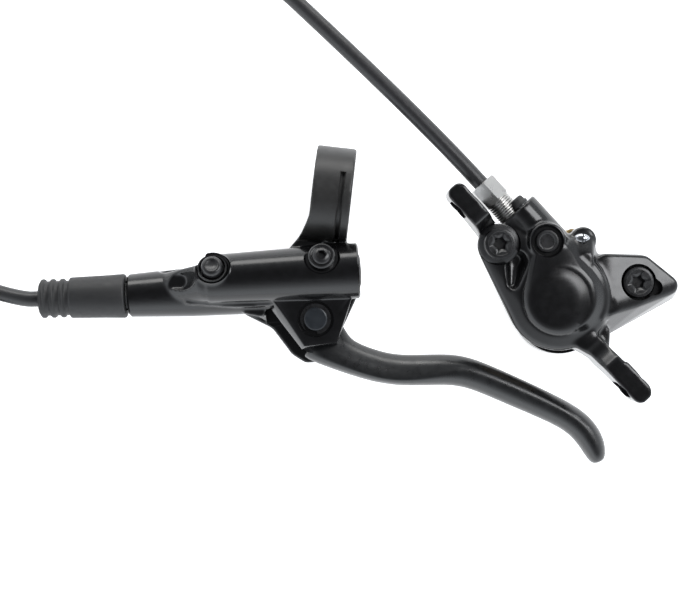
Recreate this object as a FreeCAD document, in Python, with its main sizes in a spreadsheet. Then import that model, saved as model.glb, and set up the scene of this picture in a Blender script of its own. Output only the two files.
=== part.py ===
import FreeCAD, Part
import math
import os
import re
import Sketcher
from FreeCAD import Placement, Rotation, Vector

# Hydraulic disc brake: left-hand lever, hose and post-mount caliper, laid out flat as sold.
# Millimetres, +Z up. The origin is the centre of the handlebar bore.
# Lever frames: master cylinder and reservoir have local +Z towards the hose end and +X up.
# Caliper frame: local X along the line of the two mounting posts, local Z = 0 in the disc's plane.

SIZES = {
    "floor_depth": 16.6,
    "clamp_bore_radius": 11.1,
    "clamp_wall": 4.0,
    "clamp_width": 12.4,
    "clamp_turn": -6.5,
    "clamp_split": 1.5,
    "clamp_split_height": -6.2,
    "clamp_ear_depth": 4.6,
    "clamp_bolt_radius": 2.5,
    "clamp_bolt_reach": 19.4,
    "clamp_bolt_head_radius": 4.2,
    "clamp_bolt_head_height": 5.0,
    "clamp_groove_width": 1.0,
    "clamp_groove_depth": 0.5,
    "clamp_groove_offset": 2.8,
    "thread_depth": 7.0,
    "hex_key": 4.0,
    "reservoir_end_x": 8.1,
    "reservoir_end_y": -24.0,
    "reservoir_height": 4.4,
    "reservoir_turn": 3.3,
    "reservoir_radius": 8.4,
    "reservoir_slim_radius": 7.2,
    "reservoir_length": 47.0,
    "reservoir_nose_run": 13.2,
    "reservoir_nose_drop": 6.6,
    "reservoir_nose_side": 3.0,
    "reservoir_nose_radius": 5.4,
    "cavity_radius": 4.2,
    "cavity_rise": 2.8,
    "cavity_length": 42.0,
    "end_cap_radius": 6.6,
    "end_cap_depth": 2.6,
    "end_cap_dome": 1.0,
    "diaphragm_wall": 0.8,
    "diaphragm_length": 30.0,
    "fill_plug_place": 45.0,
    "fill_plug_shift": 0.5,
    "fill_plug_lean": 25.0,
    "fill_plug_rise": 8.7,
    "fill_plug_radius": 3.5,
    "fill_plug_rim": 4.7,
    "fill_plug_boss": 5.4,
    "plug_dish_radius": 2.1,
    "plug_dish_depth": 0.7,
    "plug_length": 4.0,
    "bleed_place": 11.0,
    "bleed_lean": 18.0,
    "bleed_shift": 2.6,
    "bleed_rise": 8.4,
    "bleed_recess_radius": 5.7,
    "bleed_collar_radius": 4.1,
    "bleed_screw_radius": 3.2,
    "bleed_recess_depth": 2.0,
    "bleed_thread_radius": 2.4,
    "bleed_head_depth": 1.2,
    "bleed_thread_length": 2.6,
    "pivot_x": -5.1,
    "pivot_y": -39.1,
    "pivot_radius": 3.6,
    "pivot_clearance": 0.05,
    "pivot_head_radius": 4.8,
    "pivot_recess_radius": 5.6,
    "pivot_recess_depth": 1.7,
    "bush_wall": 0.9,
    "snap_ring_thickness": 0.7,
    "snap_ring_width": 1.7,
    "snap_groove": 0.5,
    "ear_top": 6.4,
    "slot_top": 1.6,
    "slot_bottom": -9.4,
    "ear_bottom": -12.8,
    "slot_radius": 16.0,
    "side_gap": 0.3,
    "crank_arm": 10.9,
    "crank_eye_radius": 4.2,
    "crank_slot": 4.4,
    "blade_height": -3.1,
    "blade_half_height": 6.0,
    "blade_root_radius": 8.2,
    "nut_radius": 2.5,
    "nut_half_length": 3.9,
    "reach_screw_radius": 1.5,
    "reach_screw_length": 6.4,
    "master_turn": 3.5,
    "master_bore_radius": 4.5,
    "master_bore_end": 43.6,
    "master_end": 58.9,
    "master_end_radius": 6.7,
    "master_middle": 39.5,
    "master_middle_radius": 7.7,
    "master_root": 14.0,
    "master_root_radius": 8.2,
    "piston_start": 14.6,
    "piston_length": 20.0,
    "piston_clearance": 0.06,
    "cup_groove_radius": 3.0,
    "cup_length": 2.4,
    "cup_clearance": 0.04,
    "push_rod_radius": 1.6,
    "push_rod_start": 3.0,
    "push_rod_ball": 2.2,
    "retainer_thickness": 0.9,
    "retainer_bite": 0.7,
    "spring_radius": 3.4,
    "spring_wire": 0.4,
    "spring_turns": 4,
    "port_radius": 1.2,
    "hose_radius": 2.5,
    "hose_fit": 0.25,
    "hose_insert": 12.0,
    "joint_thread_radius": 4.0,
    "joint_thread_length": 7.0,
    "joint_mouth": 4.0,
    "joint_hex": 8.0,
    "joint_hex_length": 6.0,
    "caliper_hex_length": 7.2,
    "olive_wall": 0.8,
    "olive_length": 3.6,
    "barb_length": 9.0,
    "barb_radius": 1.2,
    "barb_flange": 0.6,
    "barb_bore": 0.7,
    "boot_gap": 0.8,
    "boot_turn": 2.0,
    "boot_length": 27.4,
    "boot_start_radius": 7.0,
    "boot_sleeve_radius": 6.4,
    "boot_sleeve_end": 17.8,
    "boot_rib_radius": 6.2,
    "boot_groove_radius": 5.5,
    "boot_groove_width": 1.7,
    "boot_rib_pitch": 3.05,
    "boot_tip_radius": 5.2,
    "boot_cavity_length": 9.0,
    "caliper_x": 69.2,
    "caliper_y": -32.6,
    "caliper_turn": -47.5,
    "disc_height": 1.4,
    "disc_radius": 80.0,
    "disc_clearance": 1.5,
    "disc_slot": 1.9,
    "disc_centre_u": 36.8,
    "disc_centre_v": -58.3,
    "half_plate": 12.0,
    "half_height": 18.0,
    "outer_dome": 2.6,
    "housing_radius": 16.4,
    "dome_radius": 11.3,
    "near_bolt_u": -24.4,
    "near_bolt_v": -2.2,
    "near_pad_radius": 6.9,
    "near_seat": 13.6,
    "near_flange_radius": 5.7,
    "near_flange": 1.2,
    "far_bolt_u": 13.1,
    "far_bolt_v": 21.5,
    "far_seat": 8.6,
    "far_recess_radius": 5.6,
    "body_bolt_radius": 3.0,
    "body_bolt_head_radius": 4.7,
    "body_bolt_head": 5.0,
    "body_bolt_reach": 10.0,
    "torx_radius": 2.6,
    "post_bottom": 9.0,
    "post_height": 13.0,
    "post_face": -5.2,
    "post_back": 0.9,
    "post_hole_radius": 3.2,
    "post_slot_half": 3.0,
    "post_up_end": -46.9,
    "post_up_hole": -40.55,
    "post_low_end": 39.8,
    "post_low_hole": 33.45,
    "nut_axis_v": 6.2,
    "nut_axis_height": 9.0,
    "port_boss_face": -28.3,
    "port_boss_radius": 5.65,
    "port_boss_v": 9.5,
    "caliper_joint_gap": 6.1,
    "port_boss_height": 10.2,
    "nipple_v": 11.0,
    "nipple_height": 12.9,
    "nipple_radius": 1.6,
    "nipple_length": 2.0,
    "nipple_cap_wall": 0.4,
    "nipple_cap_length": 3.0,
    "bore_plug_u": -15.2,
    "bore_plug_v": 9.0,
    "bore_plug_top": 17.4,
    "bore_plug_radius": 3.5,
    "bore_plug_rim": 4.9,
    "bore_plug_boss": 6.0,
    "lug_u": -8.5,
    "lug_v": 17.1,
    "lug_radius": 3.9,
    "split_pin_radius": 1.5,
    "pin_fit": 0.1,
    "split_pin_head": 2.6,
    "caliper_piston_radius": 11.0,
    "caliper_bore_clearance": 0.06,
    "caliper_piston_length": 10.0,
    "caliper_piston_wall": 1.6,
    "seal_section": 2.2,
    "seal_height": 10.6,
    "pad_face": 1.25,
    "lining_thickness": 2.2,
    "pad_plate_thickness": 1.8,
    "pad_half_width": 12.6,
    "pad_low": -13.0,
    "pad_high": 9.6,
    "pad_fit": 0.4,
    "pocket_depth": 6.2,
    "pad_spring_thickness": 0.3,
    "crossover_radius": 1.2,
    "o_ring_section": 1.0,
}

doc = FreeCAD.newDocument("hydraulic_disc_brake")
sheet = doc.addObject("Spreadsheet::Sheet", "Sizes")
for row, (alias, number) in enumerate(SIZES.items(), 1):
    sheet.set("A%d" % row, alias)
    sheet.set("B%d" % row, str(number))
    sheet.setAlias("B%d" % row, alias)
doc.recompute()

UP = Vector(0, 0, 1)
OPEN_END = 1.0
nodes = []


def bound(formula):
    """The formula with each alias written as a reference to the sheet."""
    def reference(word):
        return "Sizes." + word.group() if word.group() in SIZES else word.group()
    return re.sub(r"[a-z_]+", reference, str(formula))


def size(formula):
    """The value of an alias, or of a formula on aliases."""
    return float(sheet.evalExpression(bound(formula)))


def at(x=0, y=0, z=0, turn=0):
    """A place from three formulas, turned about the vertical."""
    return Placement(Vector(size(x), size(y), size(z)), Rotation(UP, size(turn)))


def facing(direction, x=0, y=0, z=0, up=UP):
    """A place whose local Z points along a direction, with local X towards up."""
    across = Vector(*direction).cross(up)
    turn = Rotation(Vector(0, 0, 0), across, Vector(*direction), "ZYX")
    return Placement(Vector(size(x), size(y), size(z)), turn)


def primitive(kind, label, place, **formulas):
    """A Part primitive whose sizes are bound to the sheet."""
    solid = doc.addObject("Part::" + kind, label)
    for name, formula in formulas.items():
        solid.setExpression(name, bound(formula))
    solid.Placement = place
    return solid


def rod(label, place, radius, low, high, sides=0):
    """A cylinder, or a regular prism, between two heights of its place."""
    start = place.multiply(at(z=low))
    height = "(%s) - (%s)" % (high, low)
    if not sides:
        return primitive("Cylinder", label, start, Radius=radius, Height=height)
    solid = primitive("Prism", label, start, Circumradius=radius, Height=height)
    solid.Polygon = sides
    return solid


def new_body(label, place):
    body = doc.addObject("PartDesign::Body", label)
    body.Placement = place
    return body


def sketch(body, role, corners, offset=0):
    """A closed outline on one of the body's planes, each corner held by two bound dimensions."""
    drawing = body.newObject("Sketcher::SketchObject", body.Name + "_outline")
    plane = [datum for datum in body.Origin.OriginFeatures if datum.Role == role][0]
    drawing.AttachmentSupport = [(plane, "")]
    drawing.MapMode = "FlatFace"
    drawing.AttachmentOffset = at(z=offset)
    points = [Vector(size(x), size(y), 0) for x, y in corners]
    count = len(points)
    for index, point in enumerate(points):
        drawing.addGeometry(Part.LineSegment(point, points[(index + 1) % count]))
    for index in range(count):
        drawing.addConstraint(Sketcher.Constraint("Coincident", index, 2, (index + 1) % count, 1))
    for index, (corner, point) in enumerate(zip(corners, points)):
        for kind, formula, number in zip(("DistanceX", "DistanceY"), corner, point):
            held = drawing.addConstraint(Sketcher.Constraint(kind, -1, 1, index, 1, number))
            drawing.setExpression("Constraints[%d]" % held, bound(formula))
    return drawing


def turned(label, place, corners):
    """A turned piece: an outline of (radius, height) corners revolved about local Z."""
    body = new_body(label, place)
    drawing = sketch(body, "XZ_Plane", corners)
    spin = body.newObject("PartDesign::Revolution", label + "_turning")
    spin.Profile = drawing
    spin.ReferenceAxis = (drawing, ["V_Axis"])
    spin.Angle = 360
    return body


def plate(label, place, corners, low, high, rounds=(), role="XY_Plane"):
    """An outline padded between two heights; rounds gives (corner number, radius) pairs."""
    body = new_body(label, place)
    pad = body.newObject("PartDesign::Pad", label + "_pad")
    pad.Profile = sketch(body, role, corners, low)
    pad.setExpression("Length", bound("(%s) - (%s)" % (high, low)))
    if rounds:
        doc.recompute()
        for radius in sorted({radius for _, radius in rounds}):
            picked = [index for index, wanted in rounds if wanted == radius]
            round_edges(body, [corners[index] for index in picked], radius)
    return body


def round_edges(body, corners, radius):
    """Rounds the upright edges of a pad that stand on the given corners."""
    doc.recompute()
    last = body.Tip
    turn = body.Tip.Profile[0].Placement.Rotation if hasattr(body.Tip, "Profile") else None
    turn = turn or body.Group[0].Placement.Rotation
    names = []
    for x, y in corners:
        foot = turn.multVec(Vector(size(x), size(y), 0))
        along = turn.multVec(UP)
        for number, edge in enumerate(last.Shape.Edges, 1):
            ends = [vertex.Point for vertex in edge.Vertexes]
            if len(ends) == 2 and all(((end - foot).cross(along)).Length < 0.01 for end in ends):
                names.append("Edge%d" % number)
    fillet = body.newObject("PartDesign::Fillet", body.Name + "_rounding")
    fillet.Base = (last, names)
    fillet.setExpression("Radius", bound(radius))
    body.Tip = fillet


def fused(label, *solids):
    joined = doc.addObject("Part::MultiFuse", label)
    joined.Shapes = list(solids)
    return joined


def cut(label, base, *tools):
    """One solid less others."""
    result = doc.addObject("Part::Cut", label)
    result.Base = base
    result.Tool = tools[0] if len(tools) == 1 else fused(label + "_tools", *tools)
    return result


def shaped(label, shape, place=Placement()):
    """A piece whose shape neither sketches nor primitives give."""
    feature = doc.addObject("Part::Feature", label)
    feature.Shape = shape
    feature.Placement = place
    return feature


def keep(piece):
    """Marks a finished sub-part for its own file."""
    nodes.append(piece)
    return piece


def socket_screw(label, place, radius, length, head_radius, head_height, key, flange=0):
    """A cap screw: head underside at local Z = 0, head towards +Z, with a six-sided socket."""
    corners = [
        (0, "-(%s)" % length),
        (radius, "-(%s)" % length),
        (radius, 0),
        (head_radius, 0),
        (head_radius, "(%s) * 0.9" % head_height),
        ("(%s) * 0.9" % head_radius, head_height),
        (0, head_height),
    ]
    if flange:
        corners[3:4] = [("near_flange_radius", 0), ("near_flange_radius", flange), (head_radius, flange)]
    blank = turned(label + "_blank", place, corners)
    socket = rod(label + "_socket", place, key, "(%s) * 0.45" % head_height,
                 "(%s) + %s" % (head_height, OPEN_END), sides=6)
    return keep(cut(label, blank, socket))


def dished_plug(label, place, radius):
    """A plug pressed into its seat, with a dish in its top at local Z = 0."""
    corners = [
        (0, "-plug_length"),
        (radius, "-plug_length"),
        (radius, "-plug_dish_depth"),
        ("%s * 0.85" % radius, 0),
        ("plug_dish_radius", 0),
        ("plug_dish_radius * 0.75", "-plug_dish_depth"),
        (0, "-plug_dish_depth"),
    ]
    return keep(turned(label, place, corners))


def ring(label, place, inner, outer, low, high):
    """A turned ring of square section."""
    return keep(turned(label, place, [(inner, low), (outer, low), (outer, high), (inner, high)]))


# Frames of the lever

bar_way = (math.cos(math.radians(size("clamp_turn"))), math.sin(math.radians(size("clamp_turn"))), 0)
clamp = facing(bar_way)
pivot = at("pivot_x", "pivot_y")


def left_along(turn):
    """The level direction towards the hose end, at an angle to the row's X axis."""
    angle = math.radians(size(turn))
    return (-math.cos(angle), -math.sin(angle), 0)


reservoir = facing(left_along("reservoir_turn"), "reservoir_end_x", "reservoir_end_y", "reservoir_height")
crank_way = Rotation(UP, size("master_turn") + 90).multVec(Vector(1, 0, 0))
crank_pin = pivot.Base + crank_way * size("crank_arm")
master = facing(left_along("master_turn"), crank_pin.x, crank_pin.y, "blade_height")
master_mouth = "sqrt(slot_radius ^ 2 - crank_arm ^ 2)"
bleed = reservoir.multiply(Placement(
    Vector(0, size("bleed_shift"), size("bleed_place")),
    Rotation(Vector(0, 0, 1), size("bleed_lean")),
)).multiply(facing((1, 0, 0), up=Vector(0, 0, -1))).multiply(at(z="bleed_rise"))
fill = reservoir.multiply(Placement(
    Vector(0, size("fill_plug_shift"), size("fill_plug_place")),
    Rotation(Vector(0, 0, 1), size("fill_plug_lean")),
)).multiply(facing((1, 0, 0), up=Vector(0, 0, -1))).multiply(at(z="fill_plug_rise"))
boot_place = facing(left_along("boot_turn"),
                    master.multVec(Vector(0, 0, size("master_end + boot_gap"))).x,
                    master.multVec(Vector(0, 0, size("master_end + boot_gap"))).y,
                    "blade_height")
clamp_bolt = at(0, "-clamp_bolt_reach", "clamp_split_height - clamp_split / 2 - clamp_ear_depth")
clamp_bolt = clamp_bolt.multiply(Placement(Vector(), Rotation(Vector(1, 0, 0), 180)))


def clamp_groove():
    """The shallow groove round the top of the handlebar band."""
    outer = primitive("Cylinder", "groove_outer", clamp.multiply(at(z="clamp_groove_offset", turn=-28)),
                      Radius="clamp_bore_radius + clamp_wall + %s" % OPEN_END,
                      Height="clamp_groove_width", Angle=110)
    inner = rod("groove_inner", clamp, "clamp_bore_radius + clamp_wall - clamp_groove_depth",
                "clamp_groove_offset - %s" % OPEN_END, "clamp_groove_offset + 2 * %s" % OPEN_END)
    return cut("clamp_groove", outer, inner)


def lever_body():
    """One casting: handlebar band, reservoir barrel, master cylinder, web and pivot ears."""
    band = rod("band", clamp, "clamp_bore_radius + clamp_wall", "-clamp_width / 2", "clamp_width / 2")
    flare_round = rod("flare_round", clamp, "clamp_bore_radius + clamp_wall", "-2 * clamp_width", "2 * clamp_width")
    flare_plan = plate("flare_plan", Placement(), [
        ("clamp_width / 2 - 0.5", -5), ("clamp_width / 2 - 1.9", "-clamp_bore_radius - clamp_wall"),
        (-12.0, "-clamp_bore_radius - clamp_wall"), (-11.5, -14.6), (-9.5, -12.1), (-8.1, -9.4), (-7.1, -7.0),
        (-6.6, -4),
    ], "clamp_split_height + clamp_split / 2", "clamp_bore_radius + clamp_wall")
    flare = doc.addObject("Part::MultiCommon", "flare")
    flare.Shapes = [flare_round, flare_plan]
    neck = plate("neck", Placement(), [
        ("clamp_width / 2 - 1.6", -13.4), ("clamp_width / 2 - 1.8", "reservoir_end_y"),
        (-14.4, "reservoir_end_y"), (-14.0, -17.4), (-12.6, -15.8), (-10.9, -13.8),
    ], "clamp_split_height + clamp_split / 2", 2.4)
    lower_ear = plate("clamp_ear", at(turn="clamp_turn"), [
        ("-clamp_width / 2", -8), ("-clamp_width / 2", "-clamp_bolt_reach - 5.2"),
        ("clamp_width / 2", "-clamp_bolt_reach - 5.2"), ("clamp_width / 2", -8),
    ], "clamp_split_height - clamp_split / 2 - clamp_ear_depth", "clamp_split_height - clamp_split / 2",
        [(1, 3.5), (2, 3.5)])
    thread_boss = rod("thread_boss", at(0, "-clamp_bolt_reach"), "clamp_bolt_radius + 2.2",
                      "clamp_split_height + clamp_split / 2", "reservoir_height")
    barrel = turned("barrel", reservoir, [
        (0, 0), ("reservoir_radius - 1", 0), ("reservoir_radius", 1),
        ("reservoir_slim_radius", "reservoir_length"), (0, "reservoir_length"),
    ])
    nose_way = (-size("reservoir_nose_run"), -size("reservoir_nose_side"), -size("reservoir_nose_drop"))
    nose_start = reservoir.multVec(Vector(0, 0, size("reservoir_length")))
    nose = primitive(
        "Cone", "nose", facing(nose_way, nose_start.x, nose_start.y, nose_start.z), Radius1="reservoir_slim_radius",
        Radius2="reservoir_nose_radius",
        Height="sqrt(reservoir_nose_run ^ 2 + reservoir_nose_side ^ 2 + reservoir_nose_drop ^ 2)")
    nose_root = primitive("Sphere", "nose_root", Placement(nose_start, Rotation()), Radius="reservoir_slim_radius")
    tube = turned("cylinder_tube", master, [
        (0, "master_root"), ("master_root_radius", "master_root"),
        ("master_middle_radius", "master_middle"), ("master_end_radius", "master_end - 0.5"),
        ("master_end_radius - 0.5", "master_end"), (0, "master_end"),
    ])
    web = plate("web", Placement(), [
        (-46, -27.5), (-46, -34.5), (-30, -35.6), (-22, -35.2), ("reservoir_end_x - 1.2", -32.3),
        ("reservoir_end_x - 1.2", "reservoir_end_y"),
    ], -8.6, 5.2)
    upper_ear = plate("upper_ear", pivot, [
        (11.2, 6.9), (6.4, -7.4), (-3.5, -8.7), (-9.1, -0.3), (-13.6, 5.7), (-13.6, 14), (11.2, 14),
    ], "slot_top", "ear_top", [(1, 2.0), (2, 3.0)])
    bottom_ear = plate("bottom_ear", pivot, [
        (-23.3, 1.3), (-14.2, -3.2), (-7.9, -11.6), (-3.5, -14.4), (1.5, -14.0), (7.4, -5.5),
        (12.9, 6.5), (12.9, 15), (-23.3, 15),
    ], "ear_bottom", "slot_bottom", [(1, 5.0), (2, 4.0), (3, 2.5), (4, 2.5)])
    bottom_wall = plate("bottom_wall", pivot, [
        (-22.8, 1.6), (-17, 0.5), (-14.2, 3), (-10, 12), (8, 17), (12.3, 14.2), (12.3, 18.6), (-22.8, 17),
    ], "slot_bottom - %s" % OPEN_END, "slot_top")
    bleed_boss = rod("bleed_boss", bleed, "bleed_collar_radius", "-bleed_rise + 1", 0)
    fill_boss = rod("fill_boss", fill, "fill_plug_boss", "-fill_plug_rise", 0)
    casting = fused("casting", band, flare, neck, lower_ear, thread_boss, barrel, nose, nose_root, tube, web,
                    upper_ear, bottom_ear, bottom_wall, bleed_boss, fill_boss)

    bore = rod("bar_bore", clamp, "clamp_bore_radius", "-clamp_width", "clamp_width")
    split = primitive("Box", "clamp_slit", at("-clamp_width", -40, "clamp_split_height - clamp_split / 2"),
                      Length="2 * clamp_width", Width="40 - clamp_bore_radius / 2", Height="clamp_split")
    keeper = rod("slit_limit", at("pivot_x", "pivot_y"), "slot_radius + 0.8", -20, 10)
    slit = cut("limited_slit", split, keeper)
    bolt_hole = rod("clamp_bolt_hole", clamp_bolt, "clamp_bolt_radius + pivot_clearance",
                    "-clamp_ear_depth - clamp_split - thread_depth", OPEN_END)
    cavity = rod("cavity", reservoir.multiply(at("cavity_rise")), "cavity_radius", -OPEN_END, "cavity_length")
    cap_seat = rod("cap_seat", reservoir, "end_cap_radius", -OPEN_END, "end_cap_depth")
    fill_seat = turned("fill_seat", fill, [
        (0, "-plug_length"), ("fill_plug_radius", "-plug_length"), ("fill_plug_radius", -1.1),
        ("fill_plug_rim - 0.4", -1.1), ("fill_plug_rim", OPEN_END), (0, OPEN_END),
    ])
    bleed_seat = turned("bleed_seat", bleed, [
        (0, "-bleed_rise + 3"), (1.0, "-bleed_rise + 3"), (1.0, "-bleed_thread_length - 0.4"),
        ("bleed_thread_radius", "-bleed_thread_length - 0.4"), ("bleed_thread_radius", "-bleed_head_depth"),
        ("bleed_screw_radius", "-bleed_head_depth"), ("bleed_screw_radius", OPEN_END), (0, OPEN_END),
    ])
    bleed_moat = turned("bleed_moat", bleed, [
        ("bleed_collar_radius", "-bleed_recess_depth"), ("bleed_recess_radius - 0.9", "-bleed_recess_depth"),
        ("bleed_recess_radius + 0.4", OPEN_END), ("bleed_collar_radius", OPEN_END),
    ])
    master_bore = turned("master_bore", master, [
        (0, "master_root - 4"), ("master_bore_radius", "master_root - 4"),
        ("master_bore_radius", "master_bore_end"), (0, "master_bore_end + 1.5"),
    ])
    hose_port = turned("lever_hose_port", master, port_profile("master_end"))
    retainer_groove = turned("retainer_groove", master, [
        (0, "piston_start - retainer_thickness - 0.1"),
        ("master_bore_radius + retainer_bite", "piston_start - retainer_thickness - 0.1"),
        ("master_bore_radius + retainer_bite", "piston_start"), (0, "piston_start"),
    ])
    crank_space = rod("crank_space", pivot, "slot_radius", "slot_bottom", "slot_top")
    pin_hole = rod("pin_hole", pivot, "pivot_radius", "ear_bottom - 1", "ear_top + 1")
    ring_recess = rod("ring_recess", pivot, "pivot_recess_radius", "ear_top - pivot_recess_depth",
                      "ear_top + %s" % OPEN_END)
    head_recess = rod("head_recess", pivot, "pivot_head_radius + side_gap", "ear_bottom - %s" % OPEN_END,
                      "ear_bottom + 1.2")
    return keep(cut("lever_body", casting, bore, slit, bolt_hole, cavity, cap_seat, fill_seat, bleed_seat,
                    bleed_moat, master_bore, hose_port, retainer_groove, crank_space, pin_hole, ring_recess,
                    head_recess, clamp_groove()))


def lever_fittings():
    """What is screwed, pressed or clipped to the lever body."""
    socket_screw("clamp_bolt", clamp_bolt, "clamp_bolt_radius", "clamp_ear_depth + clamp_split + 6.4",
                 "clamp_bolt_head_radius", "clamp_bolt_head_height", "hex_key / sqrt(3)")
    keep(turned("reservoir_end_cap", reservoir, [
        (0, "-end_cap_dome"), ("end_cap_radius * 0.6", "-end_cap_dome * 0.8"), ("end_cap_radius", 0),
        ("end_cap_radius", "end_cap_depth"), (0, "end_cap_depth"),
    ]))
    inner = "cavity_radius - diaphragm_wall"
    keep(turned("reservoir_diaphragm", reservoir.multiply(at("cavity_rise")), [
        (inner, "end_cap_depth"), ("cavity_radius - side_gap / 2", "end_cap_depth"),
        ("cavity_radius - side_gap / 2", "end_cap_depth + 1"), ("cavity_radius - 1.4", "end_cap_depth + 3"),
        ("cavity_radius - 1.4", "diaphragm_length"), (0, "diaphragm_length"),
        (0, "diaphragm_length - diaphragm_wall"),
        ("cavity_radius - 1.4 - diaphragm_wall", "diaphragm_length - diaphragm_wall"),
        ("cavity_radius - 1.4 - diaphragm_wall", "end_cap_depth + 3"), (inner, "end_cap_depth + 1"),
    ]))
    dished_plug("fill_plug", fill, "fill_plug_radius")
    head = turned("bleed_screw_blank", bleed, [
        (0, "-bleed_thread_length"), ("bleed_thread_radius", "-bleed_thread_length"),
        ("bleed_thread_radius", "-bleed_head_depth"), ("bleed_screw_radius", "-bleed_head_depth"), ("bleed_screw_radius", 0.1),
        ("bleed_screw_radius * 0.7", 0.9), (0, 1.2),
    ])
    socket = rod("bleed_screw_socket", bleed, "2.5 / sqrt(3)", -0.9, 2, sides=6)
    keep(cut("bleed_screw", head, socket))
    pin_top = "ear_top - 0.3"
    clip = "ear_top - pivot_recess_depth"
    keep(turned("pivot_pin", pivot, [
        (0, "ear_bottom"), ("pivot_head_radius", "ear_bottom"), ("pivot_head_radius", "ear_bottom + 1.2"),
        ("pivot_radius", "ear_bottom + 1.2"), ("pivot_radius", clip),
        ("pivot_radius - snap_groove", clip), ("pivot_radius - snap_groove", clip + " + snap_ring_thickness"),
        ("pivot_radius", clip + " + snap_ring_thickness"), ("pivot_radius", pin_top + " - 0.2"),
        ("pivot_radius - 0.4", pin_top), (0, pin_top),
    ]))
    hoop = turned("snap_ring_hoop", pivot, [
        ("pivot_radius - snap_groove", clip), ("pivot_radius - snap_groove + snap_ring_width", clip),
        ("pivot_radius - snap_groove + snap_ring_width", clip + " + snap_ring_thickness"),
        ("pivot_radius - snap_groove", clip + " + snap_ring_thickness"),
    ])
    gap = primitive("Box", "snap_ring_gap", pivot.multiply(at(-1.6, -8, 0, turn=20)), Length=3.2, Width=7,
                    Height=10)
    keep(cut("pivot_snap_ring", hoop, gap))


def superellipse(centre, across, half_width, half_height, power=2.1, count=12):
    """A closed curve round a centre, between an ellipse and a rectangle."""
    points = []
    for step in range(count):
        angle = 2 * math.pi * step / count
        side = math.cos(angle)
        rise = math.sin(angle)
        wide = math.copysign(abs(side) ** (2 / power), side) * half_width
        high = math.copysign(abs(rise) ** (2 / power), rise) * half_height
        points.append(centre + across * wide + UP * high)
    curve = Part.BSplineCurve()
    curve.interpolate(points + [points[0]])
    return Part.Wire(curve.toShape())


# The finger blade's rear and front edges, from the root to the tip, seen from above, from the pivot.
BLADE_REAR = [(8.8, -7.6), (14.0, -8.4), (22.7, -11.3), (29.6, -11.7), (36.5, -11.4), (45.8, -11.4),
              (54.0, -14.3), (65.0, -19.2), (79.6, -26.0), (87.2, -31.0), (91.2, -37.4), (91.7, -43.0)]
BLADE_FRONT = [(-2.6, -12.6), (6.0, -16.0), (17.6, -20.0), (26.5, -21.3), (36.0, -21.1), (44.6, -20.9),
               (51.5, -23.1), (60.5, -27.1), (73.0, -32.3), (80.0, -36.0), (83.9, -40.6), (86.6, -44.8)]


def blade_grip():
    """The part the fingers pull: rounded sections lofted along the two edges."""
    sections = []
    last = len(BLADE_REAR) - 1
    for index, (rear, front) in enumerate(zip(BLADE_REAR, BLADE_FRONT)):
        rear = Vector(*rear, 0)
        front = Vector(*front, 0)
        slim = 0.9 if index in (0, last) else 1.0
        sections.append(superellipse((rear + front) / 2, (rear - front).normalize(),
                                     (rear - front).Length / 2, size("blade_half_height") * slim))
    return Part.makeLoft(sections, True, False)


def lever_blade():
    """The blade, its plate between the ears and the crank that works the master piston."""
    place = pivot.multiply(at(z="blade_height"))
    grip = shaped("blade_grip", blade_grip(), place)
    plate_low = "slot_bottom + side_gap"
    plate_high = "slot_top - side_gap"
    root = plate("blade_root", pivot, [
        (-5.4, -9.6), (-3.6, -13.4), (3.0, -13.4), (13.5, -12.6), (13.0, -7.4), (7.4, -2.5), (3, 5), (-6, 4),
    ], plate_low, plate_high, [(5, 3.0)])
    hub = rod("blade_hub", pivot, "blade_root_radius - 1", plate_low, plate_high)
    arm_way = math.degrees(math.atan2(crank_way.y, crank_way.x))
    arm = plate("crank_arm", pivot.multiply(at(turn=arm_way)), [
        (0, -6), ("crank_arm", "-crank_eye_radius"), ("crank_arm", "crank_eye_radius"), (0, 6),
    ], "blade_height - nut_half_length - 0.4", "blade_height + nut_half_length + 0.4")
    eye = rod("crank_eye", master_cross, "crank_eye_radius", "-nut_half_length - 0.4", "nut_half_length + 0.4")
    whole = fused("blade_blank", grip, root, hub, arm, eye)
    bush_hole = rod("bush_hole", pivot, "pivot_radius + pivot_clearance + bush_wall", -20, 20)
    nut_hole = rod("nut_hole", master_cross, "nut_radius", -20, 20)
    fork = primitive("Box", "crank_fork",
                     pivot.multiply(at(turn=arm_way)).multiply(
                         at("crank_arm - crank_eye_radius", -10, "blade_height - crank_slot / 2")),
                     Length="3 * crank_eye_radius", Width=20, Height="crank_slot")
    keep(cut("lever_blade", whole, bush_hole, nut_hole, fork))
    ring("pivot_bush", pivot, "pivot_radius + pivot_clearance",
         "pivot_radius + pivot_clearance + bush_wall", plate_low, plate_high)
    nut = rod("nut_blank", master_cross, "nut_radius", "-nut_half_length", "nut_half_length")
    nut_bore = rod("nut_bore", master, "reach_screw_radius", -10, 10)
    keep(cut("push_rod_nut", nut, nut_bore))
    screw = rod("reach_screw_blank", master, "reach_screw_radius", "-reach_screw_length", 2.4)
    key = rod("reach_screw_key", master, "1 / cos(30)", "-reach_screw_length - %s" % OPEN_END,
              "-reach_screw_length + 1.6", sides=6)
    keep(cut("reach_adjust_screw", screw, key))


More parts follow.
